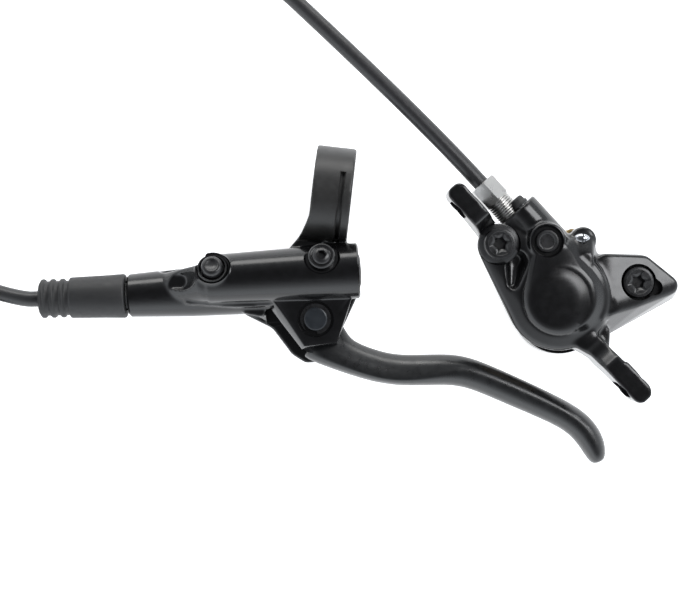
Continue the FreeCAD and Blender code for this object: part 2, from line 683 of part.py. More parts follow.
def master_internals():
    """Piston, cups, spring, push rod and retaining ring in the master cylinder."""
    piston_radius = "master_bore_radius - piston_clearance"
    start = "piston_start + 0.1"
    end = "piston_start + piston_length"
    first = "piston_start + 5"
    second = end + " - 4"
    keep(turned("master_piston", master, [
        (0, start + " + 4"), ("push_rod_ball + 0.1", start + " + 2.2"), ("push_rod_ball + 0.3", start),
        (piston_radius, start), (piston_radius, first), ("cup_groove_radius", first),
        ("cup_groove_radius", first + " + cup_length"), (piston_radius, first + " + cup_length"),
        (piston_radius, second), ("cup_groove_radius", second),
        ("cup_groove_radius", second + " + cup_length"), (piston_radius, second + " + cup_length"),
        (piston_radius, end), (1.6, end), (1.6, end + " + 2"), (0, end + " + 2"),
    ]))
    for label, low in (("secondary_cup", first), ("primary_cup", second)):
        ring(label, master, "cup_groove_radius", "master_bore_radius - cup_clearance", low,
             low + " + cup_length")
    ball = start + " + 1.7"
    keep(turned("push_rod", master, [
        (0, "push_rod_start"), ("push_rod_radius", "push_rod_start"), ("push_rod_radius", ball + " - 1.5"),
        ("push_rod_ball", ball + " - 0.6"), ("push_rod_ball", ball + " + 0.2"), (0, ball + " + 1.9"),
    ]))
    ring("piston_retaining_ring", master, "push_rod_ball + 0.6", "master_bore_radius + retainer_bite",
         "piston_start - retainer_thickness", "piston_start")
    spring_start = size(end) + size("spring_wire")
    spring_length = size("master_bore_end - spring_wire") - spring_start
    helix = Part.makeHelix(spring_length / size("spring_turns"), spring_length, size("spring_radius"))
    corners = []
    for side in range(7):
        angle = math.radians(60 * side)
        corners.append(Vector(size("spring_radius") + size("spring_wire") * math.cos(angle), 0,
                              size("spring_wire") * math.sin(angle)))
    wire_end = Part.makePolygon(corners)
    coil = Part.Wire(helix.Edges).makePipeShell([wire_end], True, True)
    keep(shaped("return_spring", coil, master.multiply(at(z=spring_start))))


def port_profile(face):
    """The outline of a hose port: thread, olive seat, hose end and fluid way, below its face."""
    thread_end = "%s - joint_thread_length" % face
    olive_end = "%s - olive_length - 0.2" % thread_end
    hose_end = "%s - hose_insert" % face
    return [
        (0, hose_end + " - 2"), ("port_radius", hose_end + " - 2"),
        ("port_radius", hose_end + " - barb_flange"), ("hose_radius + 0.1", hose_end + " - barb_flange"),
        ("hose_radius + 0.1", olive_end), ("hose_radius + olive_wall + 0.1", olive_end),
        ("hose_radius + olive_wall + 0.1", thread_end), ("joint_thread_radius", thread_end),
        ("joint_thread_radius", "%s + joint_mouth" % face), (0, "%s + joint_mouth" % face),
    ]


def hose_joint(prefix, place, face, gap, hex_length):
    """A threaded connecting bolt with the olive and barb that hold a hose end."""
    hex_low = "%s + %s" % (face, gap)
    hex_high = "%s + %s" % (hex_low, hex_length)
    barrel = turned(prefix + "_bolt_barrel", place, [
        ("hose_radius + hose_fit", "%s - joint_thread_length" % face),
        ("joint_thread_radius", "%s - joint_thread_length" % face), ("joint_thread_radius", hex_low),
        ("joint_thread_radius", hex_high), ("hose_radius + hose_fit", hex_high),
    ])
    head = rod(prefix + "_bolt_head", place, "joint_hex / sqrt(3)", hex_low, hex_high, sides=6)
    way = rod(prefix + "_bolt_way", place, "hose_radius + hose_fit", 0, 200)
    keep(fused(prefix + "_connecting_bolt", barrel, cut(prefix + "_bolt_hex", head, way)))
    seat = "%s - joint_thread_length" % face
    ring(prefix + "_olive", place, "hose_radius", "hose_radius + olive_wall",
         seat + " - olive_length", seat)
    hose_end = "%s - hose_insert" % face
    keep(turned(prefix + "_barb", place, [
        ("barb_bore", hose_end + " - barb_flange"), ("hose_radius - 0.1", hose_end + " - barb_flange"),
        ("hose_radius - 0.1", hose_end), ("barb_radius", hose_end),
        ("barb_radius", hose_end + " + barb_length"), ("barb_bore", hose_end + " + barb_length"),
    ]))


def hose_cover():
    """The rubber boot over the lever's connecting bolt, with three ribs at its hose end."""
    corners = [
        ("joint_hex / sqrt(3) + 0.1", 0), ("boot_start_radius - 0.5", 0), ("boot_start_radius", 0.6),
        ("boot_sleeve_radius", "boot_sleeve_end - 0.4"), ("boot_sleeve_radius - 0.4", "boot_sleeve_end"),
    ]
    for rib in range(3):
        start = "boot_sleeve_end + %d * boot_rib_pitch" % rib
        corners += [
            ("boot_groove_radius", start + " + 0.1"),
            ("boot_groove_radius", start + " + boot_groove_width - 0.4"),
            ("boot_rib_radius", start + " + boot_groove_width"),
            ("boot_rib_radius", start + " + boot_rib_pitch"),
        ]
    corners += [
        ("boot_tip_radius", "boot_length"), ("hose_radius + hose_fit", "boot_length"),
        ("hose_radius + hose_fit", "boot_cavity_length + 1.5"),
        ("joint_hex / sqrt(3) + 0.1", "boot_cavity_length"),
    ]
    keep(turned("hose_cover", boot_place, corners))


# Frame of the caliper, and the frame of a pad: X across it, Y away from the disc's centre

caliper = at("caliper_x", "caliper_y", "disc_height", "caliper_turn")
pad_turn = math.degrees(math.atan2(-size("disc_centre_v"), -size("disc_centre_u"))) - 90
pads = caliper.multiply(at(turn=pad_turn))
nut_line = caliper.multiply(facing((-1, 0, 0), 0, "nut_axis_v", "nut_axis_height"))


def hull_plate(label, place, low, high):
    """The plate round the piston housing and the near body bolt, as a flat band round two circles."""
    near = Vector(size("near_bolt_u"), size("near_bolt_v"), 0)
    big = size("housing_radius")
    small = size("near_pad_radius")
    heading = math.atan2(near.y, near.x)
    spread = math.acos((big - small) / near.Length)
    corners = []
    for centre, radius, sign in ((Vector(), big, 1), (near, small, 1), (near, small, -1), (Vector(), big, -1)):
        angle = heading + sign * spread
        corners.append((centre.x + radius * math.cos(angle), centre.y + radius * math.sin(angle)))
    band = plate(label + "_band", place, corners, low, high)
    housing = rod(label + "_housing", place, "housing_radius", low, high)
    pad = rod(label + "_near_pad", place.multiply(at("near_bolt_u", "near_bolt_v")), "near_pad_radius", low, high)
    return fused(label, band, housing, pad)


WING = [(-4, 17.5), (7.6, 27.4), (22.4, 29.2), (22.9, 24.6), (18.4, 9.5), (18.2, -5.0), (8, -14), (-6, 2)]
WING_ROUNDS = [(1, 6.0), (2, 3.0), (3, 4.0)]


def half_cuts(label, place, side):
    """What both halves lose: the disc's slot, the pad pocket, the piston bore and two bolt holes."""
    disc = place.multiply(at("disc_centre_u", "disc_centre_v"))
    slot = rod(label + "_disc_slot", disc, "disc_radius + disc_clearance", "-disc_slot", "disc_slot")
    pocket = primitive("Box", label + "_pocket",
                       pads.multiply(at("-pad_half_width - pad_fit", "pad_low - 6", "-pocket_depth")),
                       Length="2 * (pad_half_width + pad_fit)", Width="pad_high - pad_low + 20",
                       Height="2 * pocket_depth")
    bore_depth = "pad_face + lining_thickness + pad_plate_thickness + caliper_piston_length + 1.2"
    bore = rod(label + "_bore", place, "caliper_piston_radius + caliper_bore_clearance",
               "-(%s) * %d" % (bore_depth, side < 0), "(%s) * %d" % (bore_depth, side > 0))
    seal = turned(label + "_seal_groove", place, [
        (0, "%d * seal_height" % side), ("caliper_piston_radius + seal_section", "%d * seal_height" % side),
        ("caliper_piston_radius + seal_section", "%d * (seal_height + seal_section)" % side),
        (0, "%d * (seal_height + seal_section)" % side),
    ])
    pin = rod(label + "_pin_hole", place.multiply(at("lug_u", "lug_v")), "split_pin_radius + pin_fit", -30, 30)
    return [slot, pocket, bore, seal, pin]


def outer_half():
    """The half that carries the mounting posts, the hose port and the bolt heads."""
    hull = hull_plate("outer_hull", caliper, 0, "near_seat")
    wing = plate("outer_wing", caliper, WING, 0, "half_plate + 1.5", WING_ROUNDS)
    housing = turned("outer_housing", caliper, [
        (0, 0), ("housing_radius", 0), ("housing_radius", "half_height - 4"),
        ("housing_radius - 1.4", "half_height - 1.6"), ("housing_radius - 3.8", "half_height"),
        ("dome_radius + 0.4", "half_height"), ("dome_radius", "half_height + outer_dome * 0.5"),
        ("dome_radius - 1.8", "half_height + outer_dome * 0.8"),
        ("dome_radius * 0.5", "half_height + outer_dome"), (0, "half_height + outer_dome"),
    ])
    up_arm = plate("upper_post", caliper, [
        ("post_up_end", "post_bottom"), ("post_up_end", "post_bottom + post_height"),
        (-33.6, "post_bottom + post_height"), (-30.2, "near_seat"), (-12, "near_seat"), (-12, 3), (-30, 3),
        (-38, "post_bottom"),
    ], "-post_back", "-post_face", [(1, 1.0)], role="XZ_Plane")
    low_arm = plate("lower_post", caliper, [
        ("post_low_end", "post_bottom"), ("post_low_end", "post_bottom + post_height"),
        (25, "post_bottom + post_height"), (20, "near_seat"), (8, "near_seat"), (8, 3), (24, 3),
        (30, "post_bottom"),
    ], "-post_back", "-post_face", [(1, 1.0)], role="XZ_Plane")
    port_boss = rod("port_boss", nut_line, "joint_thread_radius + 1.6", 14, "-port_boss_face")
    bleed_line = caliper.multiply(facing((-1, 0, 0), 0, "port_boss_v", "port_boss_height"))
    face_boss = rod("port_face_boss", bleed_line, "port_boss_radius", 10, "-port_boss_face")
    plug_place = caliper.multiply(at("bore_plug_u", "bore_plug_v", "bore_plug_top"))
    plug_boss = rod("plug_boss", plug_place, "bore_plug_boss", "-bore_plug_top", 0)
    lug = rod("outer_lug", caliper.multiply(at("lug_u", "lug_v")), "lug_radius", "disc_slot", "half_plate + 1.5")
    blank = fused("outer_blank", hull, wing, housing, up_arm, low_arm, port_boss, face_boss, plug_boss, lug)

    tools = half_cuts("outer", caliper, 1)
    near = caliper.multiply(at("near_bolt_u", "near_bolt_v"))
    tools.append(rod("near_hole", near, "body_bolt_radius + pin_fit", -30, 30))
    tools.append(rod("near_spotface", near, "near_flange_radius + 0.3", "near_seat", 30))
    far = caliper.multiply(at("far_bolt_u", "far_bolt_v"))
    tools.append(rod("far_hole", far, "body_bolt_radius + pin_fit", -30, 30))
    tools.append(rod("far_recess", far, "far_recess_radius", "far_seat", 30))
    tools.append(plate("far_runout", far, [
        (0, "far_recess_radius"), (4.6, 5.4), (6.6, 4.2), (7.0, 0.6), (4.5, -3.3), (0, 0),
    ], "far_seat + 1.6", 30, [(2, 1.6), (3, 1.2)]))
    tools.append(rod("plug_seat", plug_place, "bore_plug_radius", "-plug_length", 5))
    tools.append(turned("plug_rim", plug_place, [
        (0, -0.9), ("bore_plug_rim - 0.4", -0.9), ("bore_plug_rim", OPEN_END), (0, OPEN_END),
    ]))
    tools.append(turned("caliper_hose_port", nut_line, port_profile("-port_boss_face")))
    tools.append(rod("nipple_hole", nipple_line, "nipple_radius", "-port_boss_face - 5", "-port_boss_face + 1"))
    for label, middle in (("upper_slot", "post_up_hole"), ("lower_slot", "post_low_hole")):
        tools += post_slot(label, middle)
    tools.append(rod("outer_crossover", near.multiply(at(5.2, -1)), "crossover_radius", -OPEN_END, 7))
    return keep(cut("caliper_outer_half", blank, *tools))


def post_slot(label, middle):
    """A mounting hole along local Y, lengthened along Z so that the caliper can be centred."""
    height = "post_bottom + post_height / 2"
    cutters = []
    for end, sign in (("low", -1), ("high", 1)):
        place = caliper.multiply(facing((0, 1, 0), middle, -20, "%s + %d * post_slot_half" % (height, sign)))
        cutters.append(rod("%s_%s" % (label, end), place, "post_hole_radius", 0, 40))
    cutters.append(primitive(
        "Box", label + "_middle",
        caliper.multiply(at("%s - post_hole_radius" % middle, -20, "%s - post_slot_half" % height)),
        Length="2 * post_hole_radius", Width=40, Height="2 * post_slot_half"))
    return cutters


def inner_half():
    """The half on the wheel's side, with the threads for the two body bolts."""
    hull = hull_plate("inner_hull", caliper, "-half_plate", 0)
    wing = plate("inner_wing", caliper, WING, "-half_plate", 0, WING_ROUNDS)
    housing = turned("inner_housing", caliper, [
        (0, 0), ("housing_radius", 0), ("housing_radius", "-half_height + 1.5"),
        ("housing_radius - 1.5", "-half_height"), (0, "-half_height"),
    ])
    lug = rod("inner_lug", caliper.multiply(at("lug_u", "lug_v")), "lug_radius", "-half_plate", "-disc_slot")
    blank = fused("inner_blank", hull, wing, housing, lug)
    tools = half_cuts("inner", caliper, -1)
    for label, place in (("inner_near", at("near_bolt_u", "near_bolt_v")),
                         ("inner_far", at("far_bolt_u", "far_bolt_v"))):
        tools.append(rod(label + "_hole", caliper.multiply(place), "body_bolt_radius", "-body_bolt_reach", 5))
    near = caliper.multiply(at("near_bolt_u", "near_bolt_v"))
    tools.append(rod("inner_crossover", near.multiply(at(5.2, -1)), "crossover_radius", -7, OPEN_END))
    tools.append(rod("ring_seat", near.multiply(at(5.2, -1)), "crossover_radius + o_ring_section",
                     "-o_ring_section", OPEN_END))
    return keep(cut("caliper_inner_half", blank, *tools))


def caliper_fittings():
    """Bolts, plugs, pin and nipple of the caliper."""
    near = caliper.multiply(at("near_bolt_u", "near_bolt_v", "near_seat"))
    far = caliper.multiply(at("far_bolt_u", "far_bolt_v", "far_seat"))
    socket_screw("near_body_bolt", near, "body_bolt_radius", "near_seat + body_bolt_reach - 0.4",
                 "body_bolt_head_radius", "body_bolt_head", "torx_radius", "near_flange")
    socket_screw("far_body_bolt", far, "body_bolt_radius", "far_seat + body_bolt_reach - 0.4",
                 "body_bolt_head_radius", "body_bolt_head", "torx_radius")
    dished_plug("bore_plug", caliper.multiply(at("bore_plug_u", "bore_plug_v", "bore_plug_top")),
                "bore_plug_radius")
    ring("crossover_o_ring", caliper.multiply(at("near_bolt_u", "near_bolt_v")).multiply(at(5.2, -1)),
         "crossover_radius", "crossover_radius + o_ring_section", "-o_ring_section", 0)
    top = "half_plate + 1.5"
    keep(turned("split_pin", caliper.multiply(at("lug_u", "lug_v")), [
        (0, "-half_plate - 2.5"), ("split_pin_radius", "-half_plate - 2.5"), ("split_pin_radius", top),
        ("split_pin_head", top), ("split_pin_head", top + " + 1.2"), ("split_pin_head - 0.8", top + " + 2"),
        (0, top + " + 2"),
    ]))
    keep(turned("bleed_nipple", nipple_line, [
        (0, "-port_boss_face - 5"), ("nipple_radius", "-port_boss_face - 5"),
        ("nipple_radius", "-port_boss_face + nipple_length"), (0, "-port_boss_face + nipple_length"),
    ]))
    keep(turned("bleed_nipple_cap", nipple_line, [
        (0, "-port_boss_face + nipple_length"), ("nipple_radius", "-port_boss_face + nipple_length"),
        ("nipple_radius", "-port_boss_face + 0.1"), ("nipple_radius + nipple_cap_wall", "-port_boss_face + 0.1"),
        ("nipple_radius + nipple_cap_wall", "-port_boss_face + nipple_cap_length - 0.4"),
        ("nipple_radius", "-port_boss_face + nipple_cap_length"), (0, "-port_boss_face + nipple_cap_length"),
    ]))


def brake_side(name, side):
    """One piston with its seal, and the pad it presses."""
    face = "pad_face + lining_thickness + pad_plate_thickness"
    body = caliper if side > 0 else caliper.multiply(Placement(Vector(), Rotation(Vector(1, 0, 0), 180)))
    keep(turned(name + "_piston", body, [
        ("caliper_piston_radius - caliper_piston_wall", face), ("caliper_piston_radius", face),
        ("caliper_piston_radius", face + " + caliper_piston_length"),
        (0, face + " + caliper_piston_length"), (0, face + " + 4"),
        ("caliper_piston_radius - caliper_piston_wall", face + " + 4"),
    ]))
    ring(name + "_piston_seal", body, "caliper_piston_radius + 0.04", "caliper_piston_radius + seal_section",
         "seal_height", "seal_height + seal_section")
    low = "pad_face + lining_thickness" if side > 0 else "-pad_face - lining_thickness - pad_plate_thickness"
    outline = [
        ("-pad_half_width", "pad_low"), ("pad_half_width", "pad_low"), ("pad_half_width", "pad_high"),
        (6.4, "pad_high"), (5.6, 22.4), (-1.8, 22.4), (-3.0, "pad_high"), ("-pad_half_width", "pad_high"),
    ]
    backing = plate(name + "_backing", pads, outline, low, low + " + pad_plate_thickness",
                    [(0, 3.0), (1, 3.0), (2, 2.0), (4, 2.4), (5, 2.4), (7, 2.0)])
    eye = rod(name + "_eye", caliper.multiply(at("lug_u", "lug_v")), "split_pin_radius + 0.3", -9, 9)
    keep(cut(name + "_pad_plate", backing, eye))
    lining_low = "pad_face" if side > 0 else "-pad_face - lining_thickness"
    keep(plate(name + "_pad_lining", pads, [
        ("-pad_half_width + 0.8", "pad_low + 0.8"), ("pad_half_width - 0.8", "pad_low + 0.8"),
        ("pad_half_width - 0.8", "pad_high - 0.8"), ("-pad_half_width + 0.8", "pad_high - 0.8"),
    ], lining_low, lining_low + " + lining_thickness", [(0, 3.0), (1, 3.0), (2, 2.0), (3, 2.0)]))


def pad_spring():
    """The bent steel strip that holds the two pads apart, round the split pin."""
    half = "pad_face + lining_thickness - 0.1"
    keep(plate("pad_spring", pads.multiply(Placement(Vector(3.4, 0, 0), Rotation(Vector(0, 1, 0), -90))), [
        ("-(%s)" % half, 11.2), ("-(%s) + pad_spring_thickness" % half, 11.2),
        ("-(%s) + pad_spring_thickness" % half, 15.6), (half + " - pad_spring_thickness", 15.6),
        (half + " - pad_spring_thickness", 11.2), (half, 11.2), (half, 15.9), ("-(%s)" % half, 15.9),
    ], 0, 3))


def cord_tube(name, points, radius):
    """A tube along straight runs joined by tangent arcs through a list of points."""
    edges = []
    start = points[0]
    radii = []
    for before, corner, after in zip(points, points[1:], points[2:]):
        way_in = (corner - before).normalize()
        way_out = (after - corner).normalize()
        half = way_in.getAngle(way_out) / 2
        reach = 0.45 * min((corner - before).Length, (after - corner).Length)
        radii.append(reach / math.tan(half))
        first = corner - way_in * reach
        last = corner + way_out * reach
        bisector = (way_out - way_in).normalize()
        middle = corner + bisector * (radii[-1] / math.cos(half) - radii[-1])
        edges.append(Part.LineSegment(start, first).toShape())
        edges.append(Part.Arc(first, middle, last).toShape())
        start = last
    edges.append(Part.LineSegment(start, points[-1]).toShape())
    path = Part.Wire(edges)
    end = Part.Wire(Part.makeCircle(radius, points[0], points[1] - points[0]))
    tube = path.makePipeShell([end], True, False)
    print(name, "length %.1f, volume / (section x length) %.4f, radii %s" % (
        path.Length, tube.Volume / (math.pi * radius ** 2 * path.Length), [round(r) for r in radii]))
    return tube, path.Length


# The hose: out of the boot, down into the coil; out of the coil, round behind and into the caliper

HOSE_LAID = -14.0
COIL_CENTRE = Vector(-142, -46, 0)
COIL_RADIUS = 26
COIL_LEVELS = 2
LEVER_RUN = [(-110.0, -30.0, -5.6), (-121, -24.6, -8.0), (-131, -20.0, -9.0), (-142, -17.5, -9.0)]
CALIPER_RUN = [(-113.5, -46, -14.0), (-114.2, -20, -14.0), (-115, 12, -14.0), (-116, 44, -14.0),
               (-114, 76, -14.0), (-94, 96, -13), (-61, 98, -8.5), (-32, 79.3, -2.5), (8, 39.9, 7.5)]


def hose():
    """Two plain runs and the coil of the length that is put away."""
    radius = size("hose_radius")
    stack = 2 * radius
    low = HOSE_LAID - radius
    inner = COIL_RADIUS - stack
    corners = [(inner + 1.5, low), (2 * COIL_RADIUS - inner - 1.5, low), (2 * COIL_RADIUS - inner, low + 1.5),
               (2 * COIL_RADIUS - inner, low + COIL_LEVELS * stack - 1.5),
               (2 * COIL_RADIUS - inner - 1.5, low + COIL_LEVELS * stack),
               (inner + 1.5, low + COIL_LEVELS * stack), (inner, low + COIL_LEVELS * stack - 1.5),
               (inner, low + 1.5)]
    coil = turned("hose_coil", Placement(COIL_CENTRE, Rotation()), corners)
    keep(coil)
    doc.recompute()
    runs = [
        ("lever", master, "master_end",
         [boot_place.Base, boot_place.multVec(Vector(0, 0, size("boot_length") + 5))] +
         [Vector(*point) for point in LEVER_RUN]),
    ]
    nut_end = nut_line.multVec(Vector(0, 0, size("-port_boss_face + caliper_joint_gap + caliper_hex_length")))
    leaving = nut_line.Rotation.multVec(UP)
    runs.append(("caliper", nut_line, "-port_boss_face",
                 [nut_end + leaving * 9] +
                 [Vector(*point) for point in reversed(CALIPER_RUN)]))
    for prefix, place, face, points in runs:
        end = place.multVec(Vector(0, 0, size("%s - hose_insert" % face)))
        tube, _ = cord_tube("hose_%s_run" % prefix, [end] + points, radius)
        barb = Part.makeCylinder(size("barb_radius"), size("barb_length"), end,
                                 place.Rotation.multVec(UP))
        keep(shaped("hose_%s_run" % prefix, tube.cut([barb, coil.Shape])))


# The places that need the frames above

master_cross = at(crank_pin.x, crank_pin.y, "blade_height")
nipple_line = caliper.multiply(facing((-1, 0, 0), 0, "nipple_v", "nipple_height"))

lever_body()
lever_fittings()
lever_blade()
master_internals()
hose_joint("lever", master, "master_end", "0.2", "joint_hex_length")
hose_cover()
outer_half()
inner_half()
caliper_fittings()
brake_side("outer", 1)
brake_side("inner", -1)
pad_spring()
hose_joint("caliper", nut_line, "-port_boss_face", "caliper_joint_gap", "caliper_hex_length")
hose()

doc.recompute()
for thing in doc.Objects:
    if "Invalid" in thing.State or "Error" in thing.State:
        raise SystemExit("failed: %s %s" % (thing.Label, thing.State))
os.makedirs("parts", exist_ok=True)
for node in nodes:
    shape = node.Shape
    if shape.isNull() or not shape.isValid() or not shape.Solids:
        raise SystemExit("bad shape: " + node.Label)
    print("%-26s solids %d volume %.1f" % (node.Label, len(shape.Solids), shape.Volume))
    shape.exportStep("parts/%s.step" % node.Label)
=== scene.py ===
import bpy, bmesh
import math
from mathutils import Matrix, Vector


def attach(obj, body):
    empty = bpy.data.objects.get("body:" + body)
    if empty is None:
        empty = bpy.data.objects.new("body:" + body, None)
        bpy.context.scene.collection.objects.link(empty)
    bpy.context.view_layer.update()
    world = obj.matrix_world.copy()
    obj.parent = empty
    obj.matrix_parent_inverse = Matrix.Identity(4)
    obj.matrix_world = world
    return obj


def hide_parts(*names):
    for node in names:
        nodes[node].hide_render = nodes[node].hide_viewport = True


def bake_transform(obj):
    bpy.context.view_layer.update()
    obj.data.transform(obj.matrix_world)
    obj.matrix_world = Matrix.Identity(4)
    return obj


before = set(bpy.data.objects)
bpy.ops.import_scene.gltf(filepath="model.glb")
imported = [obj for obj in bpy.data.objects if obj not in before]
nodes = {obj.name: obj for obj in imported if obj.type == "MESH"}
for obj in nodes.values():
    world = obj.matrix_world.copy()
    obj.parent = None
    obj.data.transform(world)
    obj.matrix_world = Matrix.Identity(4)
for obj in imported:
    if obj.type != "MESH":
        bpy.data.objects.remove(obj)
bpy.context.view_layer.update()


# The studio: the set lies on a white light table and is photographed from straight above through
# a long lens. The room is dark overhead and bright all round, with a long soft lamp behind.

MM = 0.001
TABLE_TOP = -16.6 * MM


def mm(x, y, z):
    """A place in metres from one in millimetres."""
    return Vector((x, y, z)) * MM


CAMERA_PLACE = (2.5, -33.2, 476.9)
camera_data = bpy.data.cameras.new("camera")
camera_data.lens = 79.92
camera_data.sensor_width = 36
camera_data.clip_start = 0.01
camera_data.clip_end = 10
camera = bpy.data.objects.new("camera", camera_data)
camera.location = mm(*CAMERA_PLACE)
bpy.context.scene.collection.objects.link(camera)
bpy.context.scene.camera = camera


def shader(name, color, roughness, metallic=0.0):
    """A material with its Principled shader, ready for its pattern."""
    material = bpy.data.materials.new(name)
    material.use_nodes = True
    surface = material.node_tree.nodes["Principled BSDF"]
    surface.inputs["Base Color"].default_value = (*color, 1)
    surface.inputs["Roughness"].default_value = roughness
    surface.inputs["Metallic"].default_value = metallic
    return material


def light_table():
    """A round white table that glows a little, so that nothing throws a shadow on it."""
    form = bmesh.new()
    bmesh.ops.create_circle(form, cap_ends=True, segments=64, radius=4)
    bmesh.ops.translate(form, verts=form.verts, vec=(0, 0, TABLE_TOP - 0.0001))
    mesh = bpy.data.meshes.new("table")
    form.to_mesh(mesh)
    form.free()
    table = bpy.data.objects.new("table", mesh)
    bpy.context.scene.collection.objects.link(table)
    white = shader("table_white", (0.9, 0.91, 0.92), 0.9)
    glow = white.node_tree.nodes["Principled BSDF"]
    glow.inputs["Emission Color"].default_value = (1, 1, 1, 1)
    glow.inputs["Emission Strength"].default_value = 0.75
    mesh.materials.append(white)


light_table()


def room():
    """The room's light: dark overhead, bright all round, less so behind than in front."""
    world = bpy.data.worlds.new("room")
    world.use_nodes = True
    tree = world.node_tree
    where = tree.nodes.new("ShaderNodeTexCoord")
    split = tree.nodes.new("ShaderNodeSeparateXYZ")
    tree.links.new(where.outputs["Generated"], split.inputs[0])
    ramp = tree.nodes.new("ShaderNodeValToRGB")
    tree.links.new(split.outputs["Z"], ramp.inputs["Fac"])
    stops = [(0.0, 0.62, 0.65, 0.68), (0.35, 0.62, 0.65, 0.68), (0.6, 0.36, 0.375, 0.395),
             (0.8, 0.15, 0.155, 0.165), (0.93, 0.05, 0.051, 0.054), (1.0, 0.035, 0.036, 0.038)]
    while len(ramp.color_ramp.elements) < len(stops):
        ramp.color_ramp.elements.new(0.5)
    for element, (height, red, green, blue) in zip(ramp.color_ramp.elements, stops):
        element.position = height
        element.color = (red, green, blue, 1)
    depth = tree.nodes.new("ShaderNodeMapRange")
    depth.inputs["From Min"].default_value = -0.4
    depth.inputs["From Max"].default_value = 0.7
    depth.inputs["To Min"].default_value = 3.1
    depth.inputs["To Max"].default_value = 1.3
    tree.links.new(split.outputs["Y"], depth.inputs["Value"])
    sky = tree.nodes["Background"]
    tree.links.new(ramp.outputs["Color"], sky.inputs["Color"])
    tree.links.new(depth.outputs["Result"], sky.inputs["Strength"])
    bpy.context.scene.world = world


room()


def soft_lamp(name, place, aim, wide, high, power, color):
    """A softbox: an even rectangle of light, turned towards a place on the table."""
    data = bpy.data.lights.new(name, "AREA")
    data.shape = "RECTANGLE"
    data.size = wide
    data.size_y = high
    data.energy = power
    data.color = color
    lamp = bpy.data.objects.new(name, data)
    lamp.location = place
    lamp.rotation_euler = (Vector(aim) - Vector(place)).to_track_quat("-Z", "Y").to_euler()
    bpy.context.scene.collection.objects.link(lamp)


soft_lamp("lamp_behind", (-0.1, 1.3, 0.46), (0, 0, 0), 1.6, 0.5, 12, (1, 0.99, 0.97))
soft_lamp("lamp_right", (0.85, 0.5, 1.2), (0.07, -0.03, 0), 0.5, 0.95, 12, (0.97, 0.98, 1))
bpy.context.scene.view_settings.view_transform = "Standard"


# The hose: nylon with a smooth black jacket, five millimetres thick. It leaves the rubber cover
# on the lever, lies in a coil beyond it, and comes round behind to the caliper's bright bolt.

HOSE_RADIUS = 2.5 * MM
COIL_CENTRE = (-142, -46)
COIL_STEPS = 12
COIL_TURNS = 3.75


def coil_points():
    """The put-away length: two turns above, two below, a hose's width apart."""
    outer, inner, above, below = 28.5, 23.5, -9.0, -14.0
    stations = [(0.0, outer, above), (0.5, outer, above), (0.83, inner, above), (1.75, inner, above),
                (2.1, inner, below), (2.72, inner, below), (3.05, outer, below), (COIL_TURNS, outer, below)]
    swell = 1 / math.cos(math.pi / COIL_STEPS)
    points = []
    for step in range(1, int(COIL_TURNS * COIL_STEPS)):
        turns = step / COIL_STEPS
        before = [s for s in stations if s[0] <= turns][-1]
        after = [s for s in stations if s[0] > turns][0]
        share = (turns - before[0]) / (after[0] - before[0])
        radius = (before[1] + (after[1] - before[1]) * share) * swell
        height = before[2] + (after[2] - before[2]) * share
        angle = math.radians(90) + turns * 2 * math.pi
        points.append((COIL_CENTRE[0] + radius * math.cos(angle),
                       COIL_CENTRE[1] + radius * math.sin(angle), height))
    return points


HOSE_START = [(-68.4, -31.97, -3.1), (-92.7, -32.82, -3.1), (-97.7, -33.0, -3.1)]
LEVER_RUN = [(-110, -30, -5.6), (-121, -24.6, -8.0), (-131, -20.0, -9.0), (-142, -17.5, -9.0)]
CALIPER_RUN = [(-113.5, -46, -14), (-114.2, -20, -14), (-115, 12, -14), (-116, 44, -14),
               (-114, 76, -14), (-94, 96, -13), (-61, 98, -8.5), (-31.3, 80, -2.5), (8.9, 40.9, 7.5)]
HOSE_END = [(40.2, 9.55, 10.4), (51.9, -3.75, 10.4)]
route = HOSE_START + LEVER_RUN + coil_points() + CALIPER_RUN + HOSE_END
hose_curve = bpy.data.curves.new("hose", "CURVE")
hose_curve.dimensions = "3D"
hose_curve.bevel_depth = HOSE_RADIUS
hose_curve.bevel_resolution = 6
hose_curve.resolution_u = 8
line = hose_curve.splines.new("NURBS")
line.points.add(len(route) - 1)
for point, place in zip(line.points, route):
    point.co = (*mm(*place), 1)
line.order_u = 3
line.use_endpoint_u = True
hose = bpy.data.objects.new("hose", hose_curve)
bpy.context.scene.collection.objects.link(hose)


def fine_grain():
    """A shader group: even noise from 0 to 1, for small changes of roughness, height and colour."""
    group = bpy.data.node_groups.new("fine_grain", "ShaderNodeTree")
    group.interface.new_socket("Place", in_out="INPUT", socket_type="NodeSocketVector")
    group.interface.new_socket("Scale", in_out="INPUT", socket_type="NodeSocketFloat")
    group.interface.new_socket("Mask", in_out="OUTPUT", socket_type="NodeSocketFloat")
    entry = group.nodes.new("NodeGroupInput")
    noise = group.nodes.new("ShaderNodeTexNoise")
    noise.inputs["Detail"].default_value = 4
    spread = group.nodes.new("ShaderNodeMapRange")
    spread.inputs["From Min"].default_value = 0.3
    spread.inputs["From Max"].default_value = 0.7
    leave = group.nodes.new("NodeGroupOutput")
    group.links.new(entry.outputs["Place"], noise.inputs["Vector"])
    group.links.new(entry.outputs["Scale"], noise.inputs["Scale"])
    group.links.new(noise.outputs["Fac"], spread.inputs["Value"])
    group.links.new(spread.outputs["Result"], leave.inputs["Mask"])
    return group


GRAIN = fine_grain()


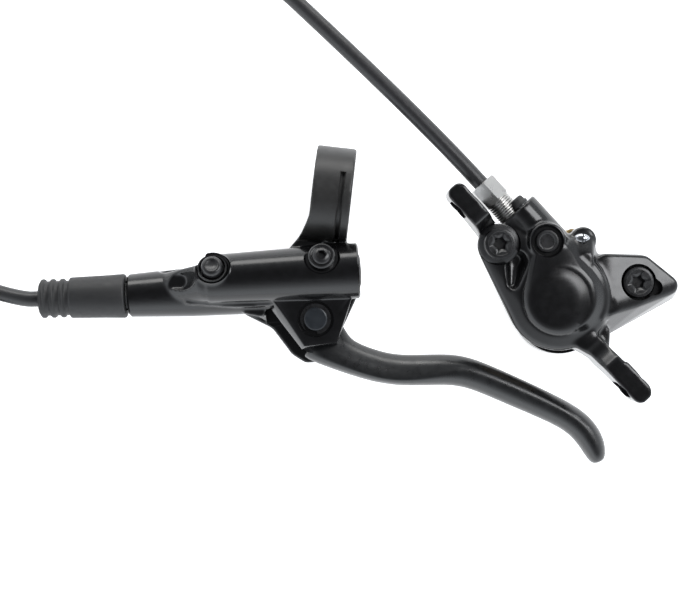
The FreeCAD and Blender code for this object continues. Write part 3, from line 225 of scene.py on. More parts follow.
def grain(material, scale, depth, roughness_from, roughness_to, other_color=None, stretch=(1, 1, 1)):
    """Fine surface grain on a material: it moves the roughness, the height and, if wanted, the colour."""
    tree = material.node_tree
    surface = tree.nodes["Principled BSDF"]
    where = tree.nodes.new("ShaderNodeTexCoord")
    turn = tree.nodes.new("ShaderNodeMapping")
    turn.inputs["Scale"].default_value = stretch
    noise = tree.nodes.new("ShaderNodeGroup")
    noise.node_tree = GRAIN
    noise.inputs["Scale"].default_value = scale
    spread = tree.nodes.new("ShaderNodeMapRange")
    spread.inputs["To Min"].default_value = roughness_from
    spread.inputs["To Max"].default_value = roughness_to
    bump = tree.nodes.new("ShaderNodeBump")
    bump.inputs["Strength"].default_value = 0.5
    bump.inputs["Distance"].default_value = depth
    link = tree.links.new
    link(where.outputs["Object"], turn.inputs["Vector"])
    link(turn.outputs["Vector"], noise.inputs["Place"])
    link(noise.outputs["Mask"], spread.inputs["Value"])
    link(spread.outputs["Result"], surface.inputs["Roughness"])
    link(noise.outputs["Mask"], bump.inputs["Height"])
    link(bump.outputs["Normal"], surface.inputs["Normal"])
    if other_color:
        blend = tree.nodes.new("ShaderNodeMix")
        blend.data_type = "RGBA"
        blend.inputs["A"].default_value = surface.inputs["Base Color"].default_value
        blend.inputs["B"].default_value = (*other_color, 1)
        link(noise.outputs["Mask"], blend.inputs["Factor"])
        link(blend.outputs["Result"], surface.inputs["Base Color"])
    return material


hose_jacket = grain(shader("hose_jacket", (0.016, 0.016, 0.017), 0.36), 900, 0.00002, 0.32, 0.42)
hose_curve.materials.append(hose_jacket)
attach(hose, "root")
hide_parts("hose_lever_run", "hose_caliper_run", "hose_coil")


# The lever body: one aluminium casting, painted gloss black. The handlebar band, the reservoir
# barrel, the master cylinder and the pivot ears run together with soft cast corners; the bores,
# recesses and the groove round the band are machined after casting, so their edges are crisp.

PIVOT = (-5.1, -39.1)
LEVER_PLANE = -3.1
BAND_BORE, BAND_RADIUS = 11.1, 15.14
BAND_EDGE = -14.6 * MM
UP = Vector((0, 0, 1))
# how fine the cast forms are, the sides of a turned form, and the gaps that are closed
GRIT = 0.36 * MM
ROUND = 96
SEAM = 0.0005


def facing(direction, place, up=UP):
    """A frame whose Z points along a direction and whose X points as far as it can towards up."""
    z = Vector(direction).normalized()
    y = z.cross(up).normalized()
    x = y.cross(z)
    return Matrix.Translation(Vector(place)) @ Matrix((x, y, z)).transposed().to_4x4()


def left_along(degrees):
    """The level direction to the left, turned by so many degrees."""
    angle = math.radians(degrees)
    return Vector((-math.cos(angle), -math.sin(angle), 0))


CLAMP = facing(-left_along(-6.5), (0, 0, 0))
RESERVOIR = facing(left_along(3.3), (8.1, -24.0, 4.4))
MASTER = facing(left_along(3.5), (-5.765, -28.22, LEVER_PLANE))
PIVOT_FRAME = Matrix.Translation((*PIVOT, 0))


def stud(along, shift, lean, rise):
    """The frame of a stud on the reservoir barrel: Z points out of it, leaning away from the grip."""
    base = RESERVOIR @ Vector((0, shift, along))
    axes = RESERVOIR.to_3x3()
    out = axes @ Vector((math.cos(math.radians(lean)), math.sin(math.radians(lean)), 0))
    return facing(out, base + out * rise, up=axes @ Vector((0, 0, -1)))


BLEED = stud(11.0, 2.6, 18.0, 8.4)
FILL = stud(45.0, 0.5, 25.0, 8.7)


def lathe(profile, place=Matrix(), steps=ROUND, start=0, turn=360):
    """A turned form: (radius, height) corners spun about the frame's Z. In millimetres."""
    form = bmesh.new()
    ring = [form.verts.new((radius, 0, height)) for radius, height in profile]
    edges = [form.edges.new(pair) for pair in zip(ring, ring[1:])]
    if profile[0][0] > 0 and profile[-1][0] > 0:
        edges.append(form.edges.new((ring[-1], ring[0])))
    bmesh.ops.rotate(form, verts=ring, matrix=Matrix.Rotation(math.radians(start), 3, "Z"))
    bmesh.ops.spin(form, geom=ring + edges, axis=(0, 0, 1), cent=(0, 0, 0), steps=steps,
                   angle=math.radians(turn), use_merge=turn == 360)
    bmesh.ops.remove_doubles(form, verts=form.verts, dist=SEAM)
    if turn < 360:
        bmesh.ops.edgeloop_fill(form, edges=[e for e in form.edges if e.is_boundary])
    bmesh.ops.recalc_face_normals(form, faces=form.faces)
    bmesh.ops.transform(form, matrix=place, verts=form.verts)
    return form


def rod(place, radius, low, high, top_radius=None, steps=ROUND):
    """A plain round bar or a cone between two heights."""
    top = radius if top_radius is None else top_radius
    return lathe([(0, low), (radius, low), (top, high), (0, high)], place, steps)


def slab(outline, low, high, place=Matrix(), rounds=0.0, top=None, lip=0.0):
    """A form of a plan's shape, with its own top plan, rounded corners or a chamfered top if wanted."""
    form = bmesh.new()
    floor = form.faces.new([form.verts.new((x, y, low)) for x, y in outline])
    grown = bmesh.ops.extrude_face_region(form, geom=[floor])
    above = [v for v in grown["geom"] if isinstance(v, bmesh.types.BMVert)]
    for vert in above:
        x, y = (top or outline)[[tuple(vert.co.xy) == tuple(Vector(p)) for p in outline].index(True)]
        vert.co = (x, y, high)
    if lip:
        rim = [e for e in form.edges if e.verts[0] in above and e.verts[1] in above]
        bmesh.ops.bevel(form, geom=rim, offset=lip, segments=2, profile=0.5, affect="EDGES", material=-1)
    if rounds:
        upright = [e for e in form.edges if abs(e.verts[0].co.z - e.verts[1].co.z) > (high - low) / 2]
        bmesh.ops.bevel(form, geom=upright, offset=rounds, segments=6, profile=0.5, affect="EDGES",
                        material=-1, clamp_overlap=True)
    bmesh.ops.recalc_face_normals(form, faces=form.faces)
    bmesh.ops.transform(form, matrix=place, verts=form.verts)
    return form


def hulled(rings, place=Matrix(), steps=48):
    """The smallest form without hollows that holds level rings, each given as x, y, height, radius."""
    form = bmesh.new()
    for x, y, height, radius in rings:
        centre = Matrix.Translation((x, y, height))
        bmesh.ops.create_circle(form, segments=steps, radius=radius, matrix=centre)
    hull = bmesh.ops.convex_hull(form, input=form.verts)
    spare = {item for item in hull["geom_interior"] + hull["geom_unused"] if item.is_valid}
    bmesh.ops.delete(form, geom=[v for v in spare if isinstance(v, bmesh.types.BMVert)], context="VERTS")
    bmesh.ops.delete(form, geom=[e for e in form.edges if not e.link_faces], context="EDGES")
    bmesh.ops.recalc_face_normals(form, faces=form.faces)
    bmesh.ops.transform(form, matrix=place, verts=form.verts)
    return form


def made(name, form):
    """An object from a form in millimetres."""
    bmesh.ops.scale(form, vec=(MM, MM, MM), verts=form.verts)
    mesh = bpy.data.meshes.new(name)
    form.to_mesh(mesh)
    form.free()
    piece = bpy.data.objects.new(name, mesh)
    bpy.context.scene.collection.objects.link(piece)
    return piece


def worked(piece, kind, **settings):
    """The piece's mesh after one modifier."""
    modifier = piece.modifiers.new("step", kind)
    for name, value in settings.items():
        setattr(modifier, name, value)
    graph = bpy.context.evaluated_depsgraph_get()
    mesh = bpy.data.meshes.new_from_object(piece.evaluated_get(graph))
    piece.modifiers.clear()
    rough = piece.data
    piece.data = mesh
    bpy.data.meshes.remove(rough)


def together(*forms):
    """Several forms as one loose heap."""
    heap = bmesh.new()
    for form in forms:
        mesh = bpy.data.meshes.new("form")
        form.to_mesh(mesh)
        heap.from_mesh(mesh)
        form.free()
        bpy.data.meshes.remove(mesh)
    return heap


def in_millimetres(mesh):
    """A form in millimetres from a mesh in metres."""
    form = bmesh.new()
    form.from_mesh(mesh)
    bmesh.ops.scale(form, vec=(1 / MM, 1 / MM, 1 / MM), verts=form.verts)
    return form


def copied(node):
    """A CAD node's own shape, its loose triangles joined up."""
    form = in_millimetres(nodes[node].data)
    bmesh.ops.remove_doubles(form, verts=form.verts, dist=SEAM)
    return form


def carved(piece, cutter, how="DIFFERENCE", slot=0):
    """Cuts a form out of the piece, adds it, or keeps only what both share."""
    tool = made("cutter", cutter)
    for face in tool.data.polygons:
        face.material_index = slot
    worked(piece, "BOOLEAN", operation=how, object=tool, solver="MANIFOLD")
    bpy.data.meshes.remove(tool.data)


def finished(piece, *finishes, sharp=34):
    """The piece with its materials, smooth except at its crisp edges."""
    mesh = piece.data
    mesh.materials.clear()
    for finish in finishes:
        mesh.materials.append(finish)
    mesh.shade_smooth()
    mesh.set_sharp_from_angle(angle=math.radians(sharp))
    return piece


def cast(name, soft, hollows, crisp, cuts, finish, soften):
    """A casting: soft forms and hollows run together and rounded, crisp forms added, then machined cuts."""
    piece = made(name, together(*soft))
    worked(piece, "REMESH", mode="VOXEL", voxel_size=GRIT, adaptivity=0.0)
    for hollow in hollows:
        carved(piece, hollow)
    if hollows:
        worked(piece, "REMESH", mode="VOXEL", voxel_size=GRIT, adaptivity=0.0)
    worked(piece, "SMOOTH", factor=0.5, iterations=soften)
    for form in crisp:
        carved(piece, form, "UNION")
    for cut in cuts:
        carved(piece, cut)
    return finished(piece, finish)


gloss_black = grain(shader("gloss_black_paint", (0.0035, 0.0035, 0.0037), 0.2), 420, 0.000003, 0.17, 0.23,
                    (0.0045, 0.0045, 0.005))
satin_paint = grain(shader("satin_black_paint", (0.011, 0.0105, 0.01), 0.42), 420, 0.000004, 0.38, 0.46,
                    (0.014, 0.0135, 0.013))

EAR_LOW = [(11.5, 6.9), (6.9, -7.9), (-4.4, -9.6), (-10.9, -1.2), (-15.4, 5.0), (-13.6, 11.6), (11.2, 12)]
EAR_TOP = [(11.5, 6.9), (6.7, -7.4), (-3.5, -8.7), (-9.1, -0.3), (-13.6, 5.9), (-12, 11.6), (11.2, 12)]
FLARE = [(5.7, -5), (4.3, -15.1), (-12.0, -15.1), (-11.5, -14.6), (-10.5, -13.3), (-9.5, -12.0), (-8.1, -9.4),
         (-7.1, -7.0), (-6.6, -4)]


def lever_body():
    """The casting of the lever, with its bores and recesses."""
    band = lathe([(BAND_BORE, -6.2), (BAND_RADIUS, -6.2), (BAND_RADIUS, 6.2), (BAND_BORE, 6.2)], CLAMP, 160)
    flare = made("flare", rod(CLAMP, 15.12, -26, 26, steps=160))
    carved(flare, slab(FLARE, -5.3, 15.2), "INTERSECT")
    flare_form = in_millimetres(flare.data)
    bpy.data.meshes.remove(flare.data)
    barrel = lathe([(0, -2.5), (8.75, -2.5), (8.75, 0), (7.6, 47), (0, 47)], RESERVOIR, 128)
    tube = lathe([(0, 14), (8.35, 14), (7.85, 39.5), (6.85, 58.4), (6.7, 61), (0, 61)], MASTER, 128)
    flank = hulled([(-47, -31.6, 0.8, 1.6), (-47, -35.4, -4, 1.9), (-15, -32.4, 1.6, 1.6),
                    (-15, -34.4, 0.9, 1.6), (-25, -35.6, -4, 2.0), (-20.2, -36.0, -1.6, 1.7)], steps=24)
    corner = hulled([(-28.0, -34.4, -5, 1.4), (-23.6, -36.9, -8.0, 1.2), (-19.0, -40.0, -9.0, 1.2),
                     (-20.2, -36, -1.6, 1.7), (-25, -35, -3, 1.7)], steps=24)
    scoop = hulled([(-50.5, -27.4, 4.7, 2.0), (-47.6, -27.4, 5.0, 2.2), (-53, -26, 16, 6.0),
                    (-46.2, -26, 16, 7.5)])
    shoulder = hulled([(x, y, height, 3) for x, y in ((-53, -21.7), (-42.4, -19.4), (-53, -14), (-42.4, -12))
                       for height in (-4, 18)])
    collar = rod(BLEED, 4.0, -7, -0.6)
    fill_boss = rod(FILL, 4.75, -8, -1.9)
    ear = slab(EAR_LOW, 1.6, 6.5, PIVOT_FRAME, top=EAR_TOP, lip=0.35)
    bore = rod(CLAMP, BAND_BORE, -30, 30, steps=160)
    groove = lathe([(13.6, 2.3), (14.6, 2.3), (15.5, 1.5), (15.5, 4.1), (14.6, 3.3), (13.6, 3.3)], CLAMP,
                   80, -26, 120)
    moat = lathe([(4.15, -2.0), (5.0, -2.0), (5.5, -1.5), (5.9, -0.2), (6.6, 1.2), (4.15, 1.2)], BLEED)
    seat = lathe([(0, -1.2), (3.25, -1.2), (3.25, -0.1), (3.45, 0.6), (0, 0.6)], BLEED)
    well = lathe([(0, -4.4), (3.8, -4.4), (3.9, -2.3), (4.1, -1.95), (4.5, -1.92), (4.74, -2.2), (4.76, -2.6),
                  (5.3, -2.3), (5.9, -0.6), (6.6, 1.5), (0, 1.5)], FILL)
    crank_space = rod(PIVOT_FRAME, 16, -9.4, 1.6)
    counterbore = lathe([(0, 4.7), (5.5, 4.7), (5.5, 6.2), (5.75, 6.6), (5.75, 8), (0, 8)], PIVOT_FRAME)
    pin_hole = rod(PIVOT_FRAME, 3.62, -14, 8)
    barrel_end = lathe([(0, -6), (12, -6), (12, 0.6), (8.6, 0.15), (8.1, -0.3), (6.65, -0.3), (6.65, 0.9),
                        (0, 0.9)], RESERVOIR)
    tube_end = lathe([(0, 58.9), (6.2, 58.9), (6.9, 58.2), (9.5, 58.2), (9.5, 64), (0, 64)], MASTER)
    return cast("lever_casting", [copied("lever_body"), band, flare_form, barrel, tube, flank, corner],
                [scoop, shoulder], [collar, fill_boss, ear],
                [bore, groove, moat, seat, well, crank_space, counterbore, pin_hole, barrel_end, tube_end],
                gloss_black, soften=10)


casting = lever_body()
casting.data.materials.append(satin_paint)
# the paint is duller on the band than on the rest
for face in casting.data.polygons:
    if face.center.y > BAND_EDGE:
        face.material_index = 1
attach(casting, "root")
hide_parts("lever_body")


# What closes the lever's two openings: a steel bleed screw with a domed head and a socket for a
# small key, and a black plug with a shallow dish, pressed into its seat at the barrel's far end.

black_steel = grain(shader("blackened_steel", (0.008, 0.008, 0.0085), 0.3), 700, 0.000004, 0.24, 0.36,
                    (0.012, 0.012, 0.013))
worn_socket = grain(shader("worn_socket", (0.2, 0.21, 0.22), 0.34, 0.5), 900, 0.000008, 0.26, 0.42,
                    (0.11, 0.115, 0.12))
# The light grey of the ring under the bleed screw's head is a painted highlight: the bright line of its rim
# is painted on as colour.
painted_highlight_ring = grain(shader("painted_highlight_ring", (0.3, 0.31, 0.32), 0.5), 900, 0.000008, 0.42, 0.6, (0.22, 0.23, 0.24))

screw = made("bleed_screw_domed", lathe([
    (0, 1.05), (1.3, 1.02), (2.2, 0.8), (2.75, 0.4), (3.0, -0.05), (3.1, -0.5), (3.1, -1.2), (2.4, -1.25),
    (2.4, -2.6), (0, -2.6)], BLEED))
carved(screw, lathe([(0, -0.9), (1.44, -0.9), (1.44, 0.7), (1.9, 1.2), (0, 1.2)], BLEED, 6), slot=1)
# The ring round the screw's neck takes slot 2, the light grey painted highlight that stands for the bright
# line of its rim.
carved(screw, lathe([(3.05, -0.7), (4.1, -0.7), (4.1, -0.3), (3.8, 0.05), (3.6, 0.1), (3.3, -0.15),
                     (3.05, -0.2)], BLEED), "UNION", 2)
finished(screw, black_steel, worn_socket, painted_highlight_ring)
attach(screw, "root")
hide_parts("bleed_screw")

plug_profile = [(0, -0.15), (1.4, -0.12), (1.75, 0.1), (2.3, 0.22), (2.8, 0.05), (3.2, -0.4), (3.45, -1.2),
                (3.5, -4), (0, -4)]
plug = finished(made("fill_plug_dished", lathe(plug_profile, FILL)), black_steel, sharp=50)
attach(plug, "root")
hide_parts("fill_plug")


# The finger blade: forged aluminium with a black lacquer, ground to a full round section that
# suits the fingers. Its plate turns on a bush between the ears and ends in the crank.

CRANK_WAY = Matrix.Rotation(math.radians(93.5), 4, "Z")
CRANK_REACH = 10.9
FULLNESS = 0.92
# rear edge x y, front edge x y, share of the width behind the crest, half height
SECTIONS = [(6.8, 0.2, -3.6, -10.9, 0.66, 3.4), (9.0, -2.8, -3.8, -11.9, 0.68, 4.6),
            (10.8, -6.2, -2.2, -13.2, 0.70, 5.5), (14.6, -8.4, 6.0, -16.3, 0.74, 5.9),
            (22.7, -11.1, 17.6, -20.1, 0.78, 6.0), (29.6, -11.6, 26.5, -21.4, 0.78, 6.0),
            (36.5, -11.3, 36.0, -21.2, 0.68, 6.0), (45.8, -11.3, 44.6, -21.0, 0.48, 6.0),
            (54.0, -14.2, 51.5, -23.2, 0.44, 6.0), (65.0, -19.1, 60.5, -27.2, 0.42, 6.0),
            (79.6, -25.9, 73.0, -32.4, 0.42, 6.0), (87.2, -30.9, 80.0, -36.1, 0.45, 6.0),
            (91.3, -37.3, 83.8, -40.7, 0.5, 5.9), (92.0, -42.2, 86.2, -44.6, 0.5, 5.6),
            (91.4, -45.0, 88.0, -46.4, 0.5, 3.6)]
satin_black = grain(shader("satin_black_lacquer", (0.006, 0.0064, 0.0068), 0.3), 500, 0.000004, 0.26, 0.34,
                    (0.008, 0.0085, 0.009))
satin_black.node_tree.nodes["Principled BSDF"].inputs["Specular IOR Level"].default_value = 0.65


def grip():
    """The part that the fingers pull: full rounded sections bridged from root to tip."""
    form = bmesh.new()
    loops = []
    for rear_x, rear_y, front_x, front_y, share, half_height in SECTIONS:
        rear, front = Vector((rear_x, rear_y)), Vector((front_x, front_y))
        crest = rear.lerp(front, share)
        ring = bmesh.ops.create_circle(form, segments=28, radius=1)["verts"]
        for vert in ring:
            side, rise = vert.co.x, vert.co.y
            reach = (rear - crest if side > 0 else front - crest) * abs(side) ** FULLNESS
            lift = half_height * math.copysign(abs(rise) ** FULLNESS, rise)
            vert.co = (*(crest + reach), LEVER_PLANE + lift)
        loops.append({edge for vert in ring for edge in vert.link_edges})
    for here, there in zip(loops, loops[1:]):
        bmesh.ops.bridge_loops(form, edges=list(here | there))
    bmesh.ops.holes_fill(form, edges=[e for e in form.edges if e.is_boundary])
    bmesh.ops.recalc_face_normals(form, faces=form.faces)
    bmesh.ops.transform(form, matrix=PIVOT_FRAME, verts=form.verts)
    return form


def lever_blade():
    """The whole blade: grip, plate between the ears, hub, crank arm and its eye."""
    piece = made("finger_blade", grip())
    worked(piece, "SUBSURF", levels=3, render_levels=3)
    low, high = -9.1, 1.3
    root = slab([(-5.4, -8.6), (-2.4, -10.6), (4.0, -11.6), (8.6, -11.0), (8.6, -6.5), (7.0, -2.5), (3, 5),
                 (-6, 4)], low, high, PIVOT_FRAME)
    hub = rod(PIVOT_FRAME, 7.2, low, high)
    crank = PIVOT_FRAME @ CRANK_WAY
    arm = slab([(0, -6), (CRANK_REACH, -4.2), (CRANK_REACH, 4.2), (0, 6)], LEVER_PLANE - 4.3,
               LEVER_PLANE + 4.3, crank)
    eye = crank @ Matrix.Translation((CRANK_REACH, 0, LEVER_PLANE))
    for form in (root, hub, arm, rod(eye, 4.2, -4.3, 4.3)):
        carved(piece, form, "UNION")
    fork = slab([(6.7, -10), (19, -10), (19, 10), (6.7, 10)], LEVER_PLANE - 2.2, LEVER_PLANE + 2.2, crank)
    for cut in (rod(PIVOT_FRAME, 4.55, -20, 20), rod(eye, 2.5, -20, 20), fork):
        carved(piece, cut)
    return finished(piece, satin_black, sharp=40)


blade = lever_blade()
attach(blade, "lever")
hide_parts("lever_blade")


# The cover over the lever's hose joint: moulded rubber, a plain sleeve and three ribs that let it
# bend with the hose. It is pushed on by hand and grips the connecting bolt's six sides.

SLEEVE_END, RIBS, RIB_STEP = 17.8, 3, 3.05
BOOT = facing(left_along(2.0), MASTER @ Vector((0, 0, 59.7)))
rubber = grain(shader("moulded_rubber", (0.009, 0.009, 0.0095), 0.55), 800, 0.00002, 0.48, 0.62,
               (0.012, 0.012, 0.0125))


def boot():
    """The cover's turned form, thick-walled, with rounded ribs."""
    profile = [(4.72, 0), (6.4, 0), (6.85, 0.25), (7.0, 0.8), (6.75, 7), (6.5, SLEEVE_END - 0.8),
               (6.35, SLEEVE_END - 0.2), (6.0, SLEEVE_END)]
    for rib in range(RIBS):
        start = SLEEVE_END + RIB_STEP * rib
        profile += [(5.6, start + 0.15), (5.5, start + 0.5), (5.5, start + 1.1), (5.65, start + 1.45),
                    (6.0, start + 1.6), (6.2, start + 1.95), (6.22, start + 2.35), (6.1, start + 2.8),
                    (5.85, start + 3.0)]
    profile += [(5.5, 27.1), (5.0, 27.4), (3.0, 27.4), (2.75, 27.0), (2.75, 10.5), (4.72, 9)]
    return lathe(profile, BOOT, 128)


cover = finished(made("hose_cover_ribbed", boot()), rubber, sharp=50)
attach(cover, "root")
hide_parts("hose_cover")


# The caliper's outer half: a painted aluminium casting with the piston housing under its crown,
# two mounting posts, the hose port, a wing for the far bolt and the lug of the pad pin.

CALIPER = Matrix.Translation((69.2, -32.6, 1.4)) @ Matrix.Rotation(math.radians(-47.5), 4, "Z")
NEAR, NEAR_SEAT = (-24.4, -2.2), 13.6
FAR, FAR_SEAT = (13.1, 21.5), 8.6
PLUG = (-15.2, 9.0)
LUG = (-8.4, 17.6)
POSTS = (-40.55, 33.45)
DISC, DISC_ROOM = (36.8, -58.3), 81.5
PISTON_BORE, PISTON_DEPTH, SEAL_GROOVE = 11.06, 16.45, 13.2
PADS = CALIPER @ Matrix.Rotation(math.atan2(-DISC[1], -DISC[0]) - math.pi / 2, 4, "Z")
NUT_LINE = CALIPER @ facing((-1, 0, 0), (0, 7.0, 9.0))
PORT_LINE = CALIPER @ facing((-1, 0, 0), (0, 10.1, 10.0))
PORT_FACE = 28.3
ARM_TOP = 22


def spot(place, height=0.0):
    """An upright frame at a place on the caliper."""
    return CALIPER @ Matrix.Translation((*place, height))


def side_on(corners, back, front):
    """A form given by its side view: along and height, between two depths."""
    form = slab(corners, back, front)
    upright = Matrix(((1, 0, 0), (0, 0, 1), (0, 1, 0))).to_4x4()
    bmesh.ops.transform(form, matrix=CALIPER @ upright, verts=form.verts)
    bmesh.ops.recalc_face_normals(form, faces=form.faces)
    return form


def half_cuts(side):
    """What both halves lose: the disc's slot, the pads' pocket, the piston bore and the pin's hole."""
    slot = rod(spot(DISC), DISC_ROOM, -1.9, 1.9, steps=256)
    pocket = slab([(-13, -19), (13, -19), (13, 10.6), (-13, 10.6)], -6.2, 6.2, PADS)
    bore = rod(CALIPER, PISTON_BORE, *sorted((0, side * PISTON_DEPTH)))
    seal = rod(CALIPER, SEAL_GROOVE, *sorted((side * 10.6, side * 12.8)))
    return [slot, pocket, bore, seal, rod(spot(LUG), 1.6, -30, 30)]


def post_slot(along):
    """The cutter of a mounting hole, longer upwards so that the caliper can be centred."""
    place = CALIPER @ facing((0, 1, 0), (along, -20, 15.5))
    return hulled([(rise, 0, depth, 3.2) for rise in (-3, 3) for depth in (0, 40)], place)


def outer_half():
    """The outer casting: its body, wing, two arms and bosses, then the crown and the cuts."""
    skirt = hulled([(-22.8, -1.8, 0, 5.0), (-23.7, -2.1, 9, 6.3), (-24.1, -2.2, 13.2, 6.9),
                    (-23.4, -2.0, 13.9, 6.4), (0.3, 0.5, 0, 14.8), (0.1, 0.3, 9, 15.9),
                    (0.1, 0.2, 14.2, 16.2), (0, 0.2, 15.6, 15.4), (0, 0, 17.5, 11.6)], CALIPER)
    saddle = hulled([(0, 0, 8, 12), (0, 0, 17.4, 11.2), (-14.2, 8.6, 8, 7), (-14.2, 8.6, 15.4, 6.0)], CALIPER)
    ridge = lathe([(11, 8), (15.4, 8), (15.5, 15.2), (15.2, 16.4), (14.6, 16.9), (11, 16.9)], CALIPER,
                  48, 20, 84)
    slope = hulled([(0, 0, 8, 11), (0.6, 0.7, 19.0, 9.8), (2.2, 2.8, 14.9, 13.0), (-8.0, 8.0, 17.4, 4.4),
                    (-6.6, 10.6, 14.4, 6.4)], CALIPER)
    brow = hulled([(-3.0, 17.0, 4, 2.2), (-3.0, 17.0, 11, 2.0), (-7.8, 17.6, 4, 3.6), (-7.8, 17.6, 13.4, 3.4),
                   (-2.6, 14.8, 8, 3.0), (-3.0, 13.6, 17.0, 2.4)], CALIPER)
    wing = hulled([(2.0, 17.8, 14.6, 3.0), (10.6, 25.6, 12.3, 3.7), (20.3, 28.0, 11.6, 2.9),
                   (15.8, 17.5, 14.4, 3.0), (11.8, 9.5, 16.2, 3.0), (2.0, 17.4, 0, 3.8), (10.6, 25.6, 0, 4.6),
                   (22.1, 27.6, 1.5, 3.6), (20.2, 21.4, 0, 3.5), (16.8, 11.0, 0, 3.6), (15.4, 2.6, 0, 4.5)],
                  CALIPER)
    armpit = hulled([(17, 3.2, 0, 2.8), (17, 3.2, 14, 2.2), (21.5, 0.2, 4, 1.4), (21.5, 0.2, 13, 1.2),
                     (18, -2, 2, 2.6), (18, -2, 14, 2.6)], CALIPER)
    upper = side_on([(-43.6, 9), (-43.6, ARM_TOP), (-36, ARM_TOP), (-33.6, 21.6), (-32, 19), (-30.6, 15.4),
                     (-28, 13.6), (-12, 13.6), (-12, 3), (-30, 3), (-38, 9)], -4.6, 1.5)
    upper_end = hulled([(along, deep, height, 2.3) for along in (-44.7, -38) for deep in (-2.3, -0.8)
                        for height in (9, ARM_TOP)], CALIPER)
    lower_end = hulled([(along, deep, height, 2.3) for along in (37.8, 32) for deep in (-2.4, -0.9)
                        for height in (9, ARM_TOP)], CALIPER)
    lower = side_on([(36.8, 9), (36.8, ARM_TOP), (27, ARM_TOP), (24.4, 21.4), (22.4, 19.4), (20.6, 18.2),
                     (18.4, 17.6), (16.4, 16.4), (14, 15.6), (8, 15.6), (8, 3), (24, 3), (30, 9)], -4.8, 1.1)
    ear = side_on([(38.0, 9), (38.0, 21.8), (27.4, 21.8), (27.0, 9)], 0.2, 1.8)
    root = hulled([(12, -2.5, 4, 5), (12, -2.5, 15.8, 4.4), (21, -1.9, 4, 2.8), (21, -1.9, 17.0, 2.3)],
                  CALIPER)
    nut_boss = rod(NUT_LINE, 5.6, 14, PORT_FACE)
    port_boss = rod(PORT_LINE, 6.0, 8, PORT_FACE)
    plug_boss = rod(spot(PLUG), 6.3, 4, 17.5, 5.7)
    lug = rod(spot((-7.8, 17.8)), 4.1, 1.9, 13.6)
    valley = hulled([(-17.4, -1.8, 12.8, 1.8), (-17.4, -1.8, 20, 5.2), (-12.6, -7.6, 14.6, 0.8),
                     (-12.6, -7.6, 20, 3.0)], CALIPER)
    crown = hulled([(0, 0, 8, 11.6), (0, 0, 17.2, 11.6), (0, -0.2, 18.1, 11.0), (0, -0.8, 18.9, 9.9),
                    (0, -1.5, 19.35, 8.4), (0, -1.9, 19.6, 6.9), (0, -2.3, 19.7, 4.5), (-11.4, 7.0, 8, 5.8),
                    (-11.4, 7.0, 16.2, 5.8), (-11.2, 6.8, 17.0, 4.8)], CALIPER, 160)
    far_seat = lathe([(0, FAR_SEAT), (5.6, FAR_SEAT), (5.6, 12.5), (5.8, 30), (0, 30)], spot(FAR))
    far_pocket = hulled([(13.6, 21.8, 10.2, 4.0), (17.8, 24.2, 10.2, 2.4), (13.6, 21.8, 30, 4.0),
                         (17.8, 24.2, 30, 2.4)], CALIPER)
    plug_hole = lathe([(0, 13.4), (3.55, 13.4), (3.55, 15.9), (4.5, 15.9), (4.7, 17.0), (5.0, 17.5),
                       (5.6, 22), (0, 22)], spot(PLUG))
    port = lathe([(0, 17), (3.4, 17), (3.4, 22), (4.1, 22), (4.1, 28.1), (4.5, 28.5), (0, 28.5)], NUT_LINE)
    cuts = half_cuts(1) + [
        rod(spot(NEAR), 3.1, -30, 30), rod(spot(NEAR), 6.5, NEAR_SEAT, 18), rod(spot(FAR), 3.1, -30, 30),
        far_seat, far_pocket, plug_hole, port, rod(NUT_LINE, 7.5, PORT_FACE, 40),
        rod(PORT_LINE, 7.5, PORT_FACE, 40), *map(post_slot, POSTS)]
    return cast("caliper_casting_outer",
                [skirt, saddle, slope, ridge, brow, wing, armpit, upper, upper_end, lower, lower_end, ear,
                 root, nut_boss, port_boss, plug_boss, lug], [valley], [crown], cuts, gloss_black, soften=22)


outer = outer_half()
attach(outer, "root")
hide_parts("caliper_outer_half")


# The caliper's inner half: the same painted casting turned to the wheel, with the second piston's
# housing, a plain belt under the outer half's, and the threads of the two long body bolts.

def inner_half():
    """The inner casting: belt, housing, wing and lug, then the cuts."""
    belt = hulled([(-22.8, -1.0, 0, 4.8), (-22.6, -0.8, -11.8, 4.4), (0.9, 1.0, 0, 15.3),
                   (4, 0.2, -11.8, 14.0)], CALIPER)
    bellies = ((-5, 0.6, 12.5), (0, 0.4, 13.8), (5, -0.2, 14.1))
    housing = hulled([(along, across, height, radius - taper) for along, across, radius in bellies
                      for height, taper in ((0, 0.4), (-14.5, 0), (-16.6, 0.6), (-18, 2.4))], CALIPER)
    wing = hulled([(2.0, 17.0, 0, 3.6), (10.6, 25.0, 0, 4.2), (20.2, 27.0, 0, 3.6), (19.0, 22.0, 0, 3.8),
                   (15.6, 11.4, 0, 4.0), (2.0, 17.0, -11.6, 3.2), (10.6, 25.0, -11.6, 3.6),
                   (19.4, 26.4, -11.6, 3.2), (15.0, 11.4, -11.6, 3.4)], CALIPER)
    lug = rod(spot(LUG), 3.9, -12, -1.9)
    cuts = half_cuts(-1) + [rod(spot(NEAR), 3.0, -10, 5), rod(spot(FAR), 3.0, -10, 5)]
    return cast("caliper_casting_inner", [belt, housing, wing, lug], [], [], cuts, gloss_black, soften=14)


inner = inner_half()
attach(inner, "root")
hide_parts("caliper_inner_half")


# The body bolts: hardened steel, blackened, each with a star socket cut deep into its head. They
# go down through the outer half into the inner one; the near bolt has a flange.

HEAD_RADIUS, HEAD_TOP = 4.75, 4.8


def star(radius, waist, depth, taper):
    """The cutter of a six-pointed socket, its points rounded and its walls drawn in a little."""
    corners = []
    for step in range(12):
        reach = (radius, waist)[step % 2]
        angle = math.radians(30 * step)
        corners.append((reach * math.cos(angle), reach * math.sin(angle)))
    floor = [(x * taper, y * taper) for x, y in corners]
    return slab(floor, -depth, 0.1, rounds=0.25, top=corners)


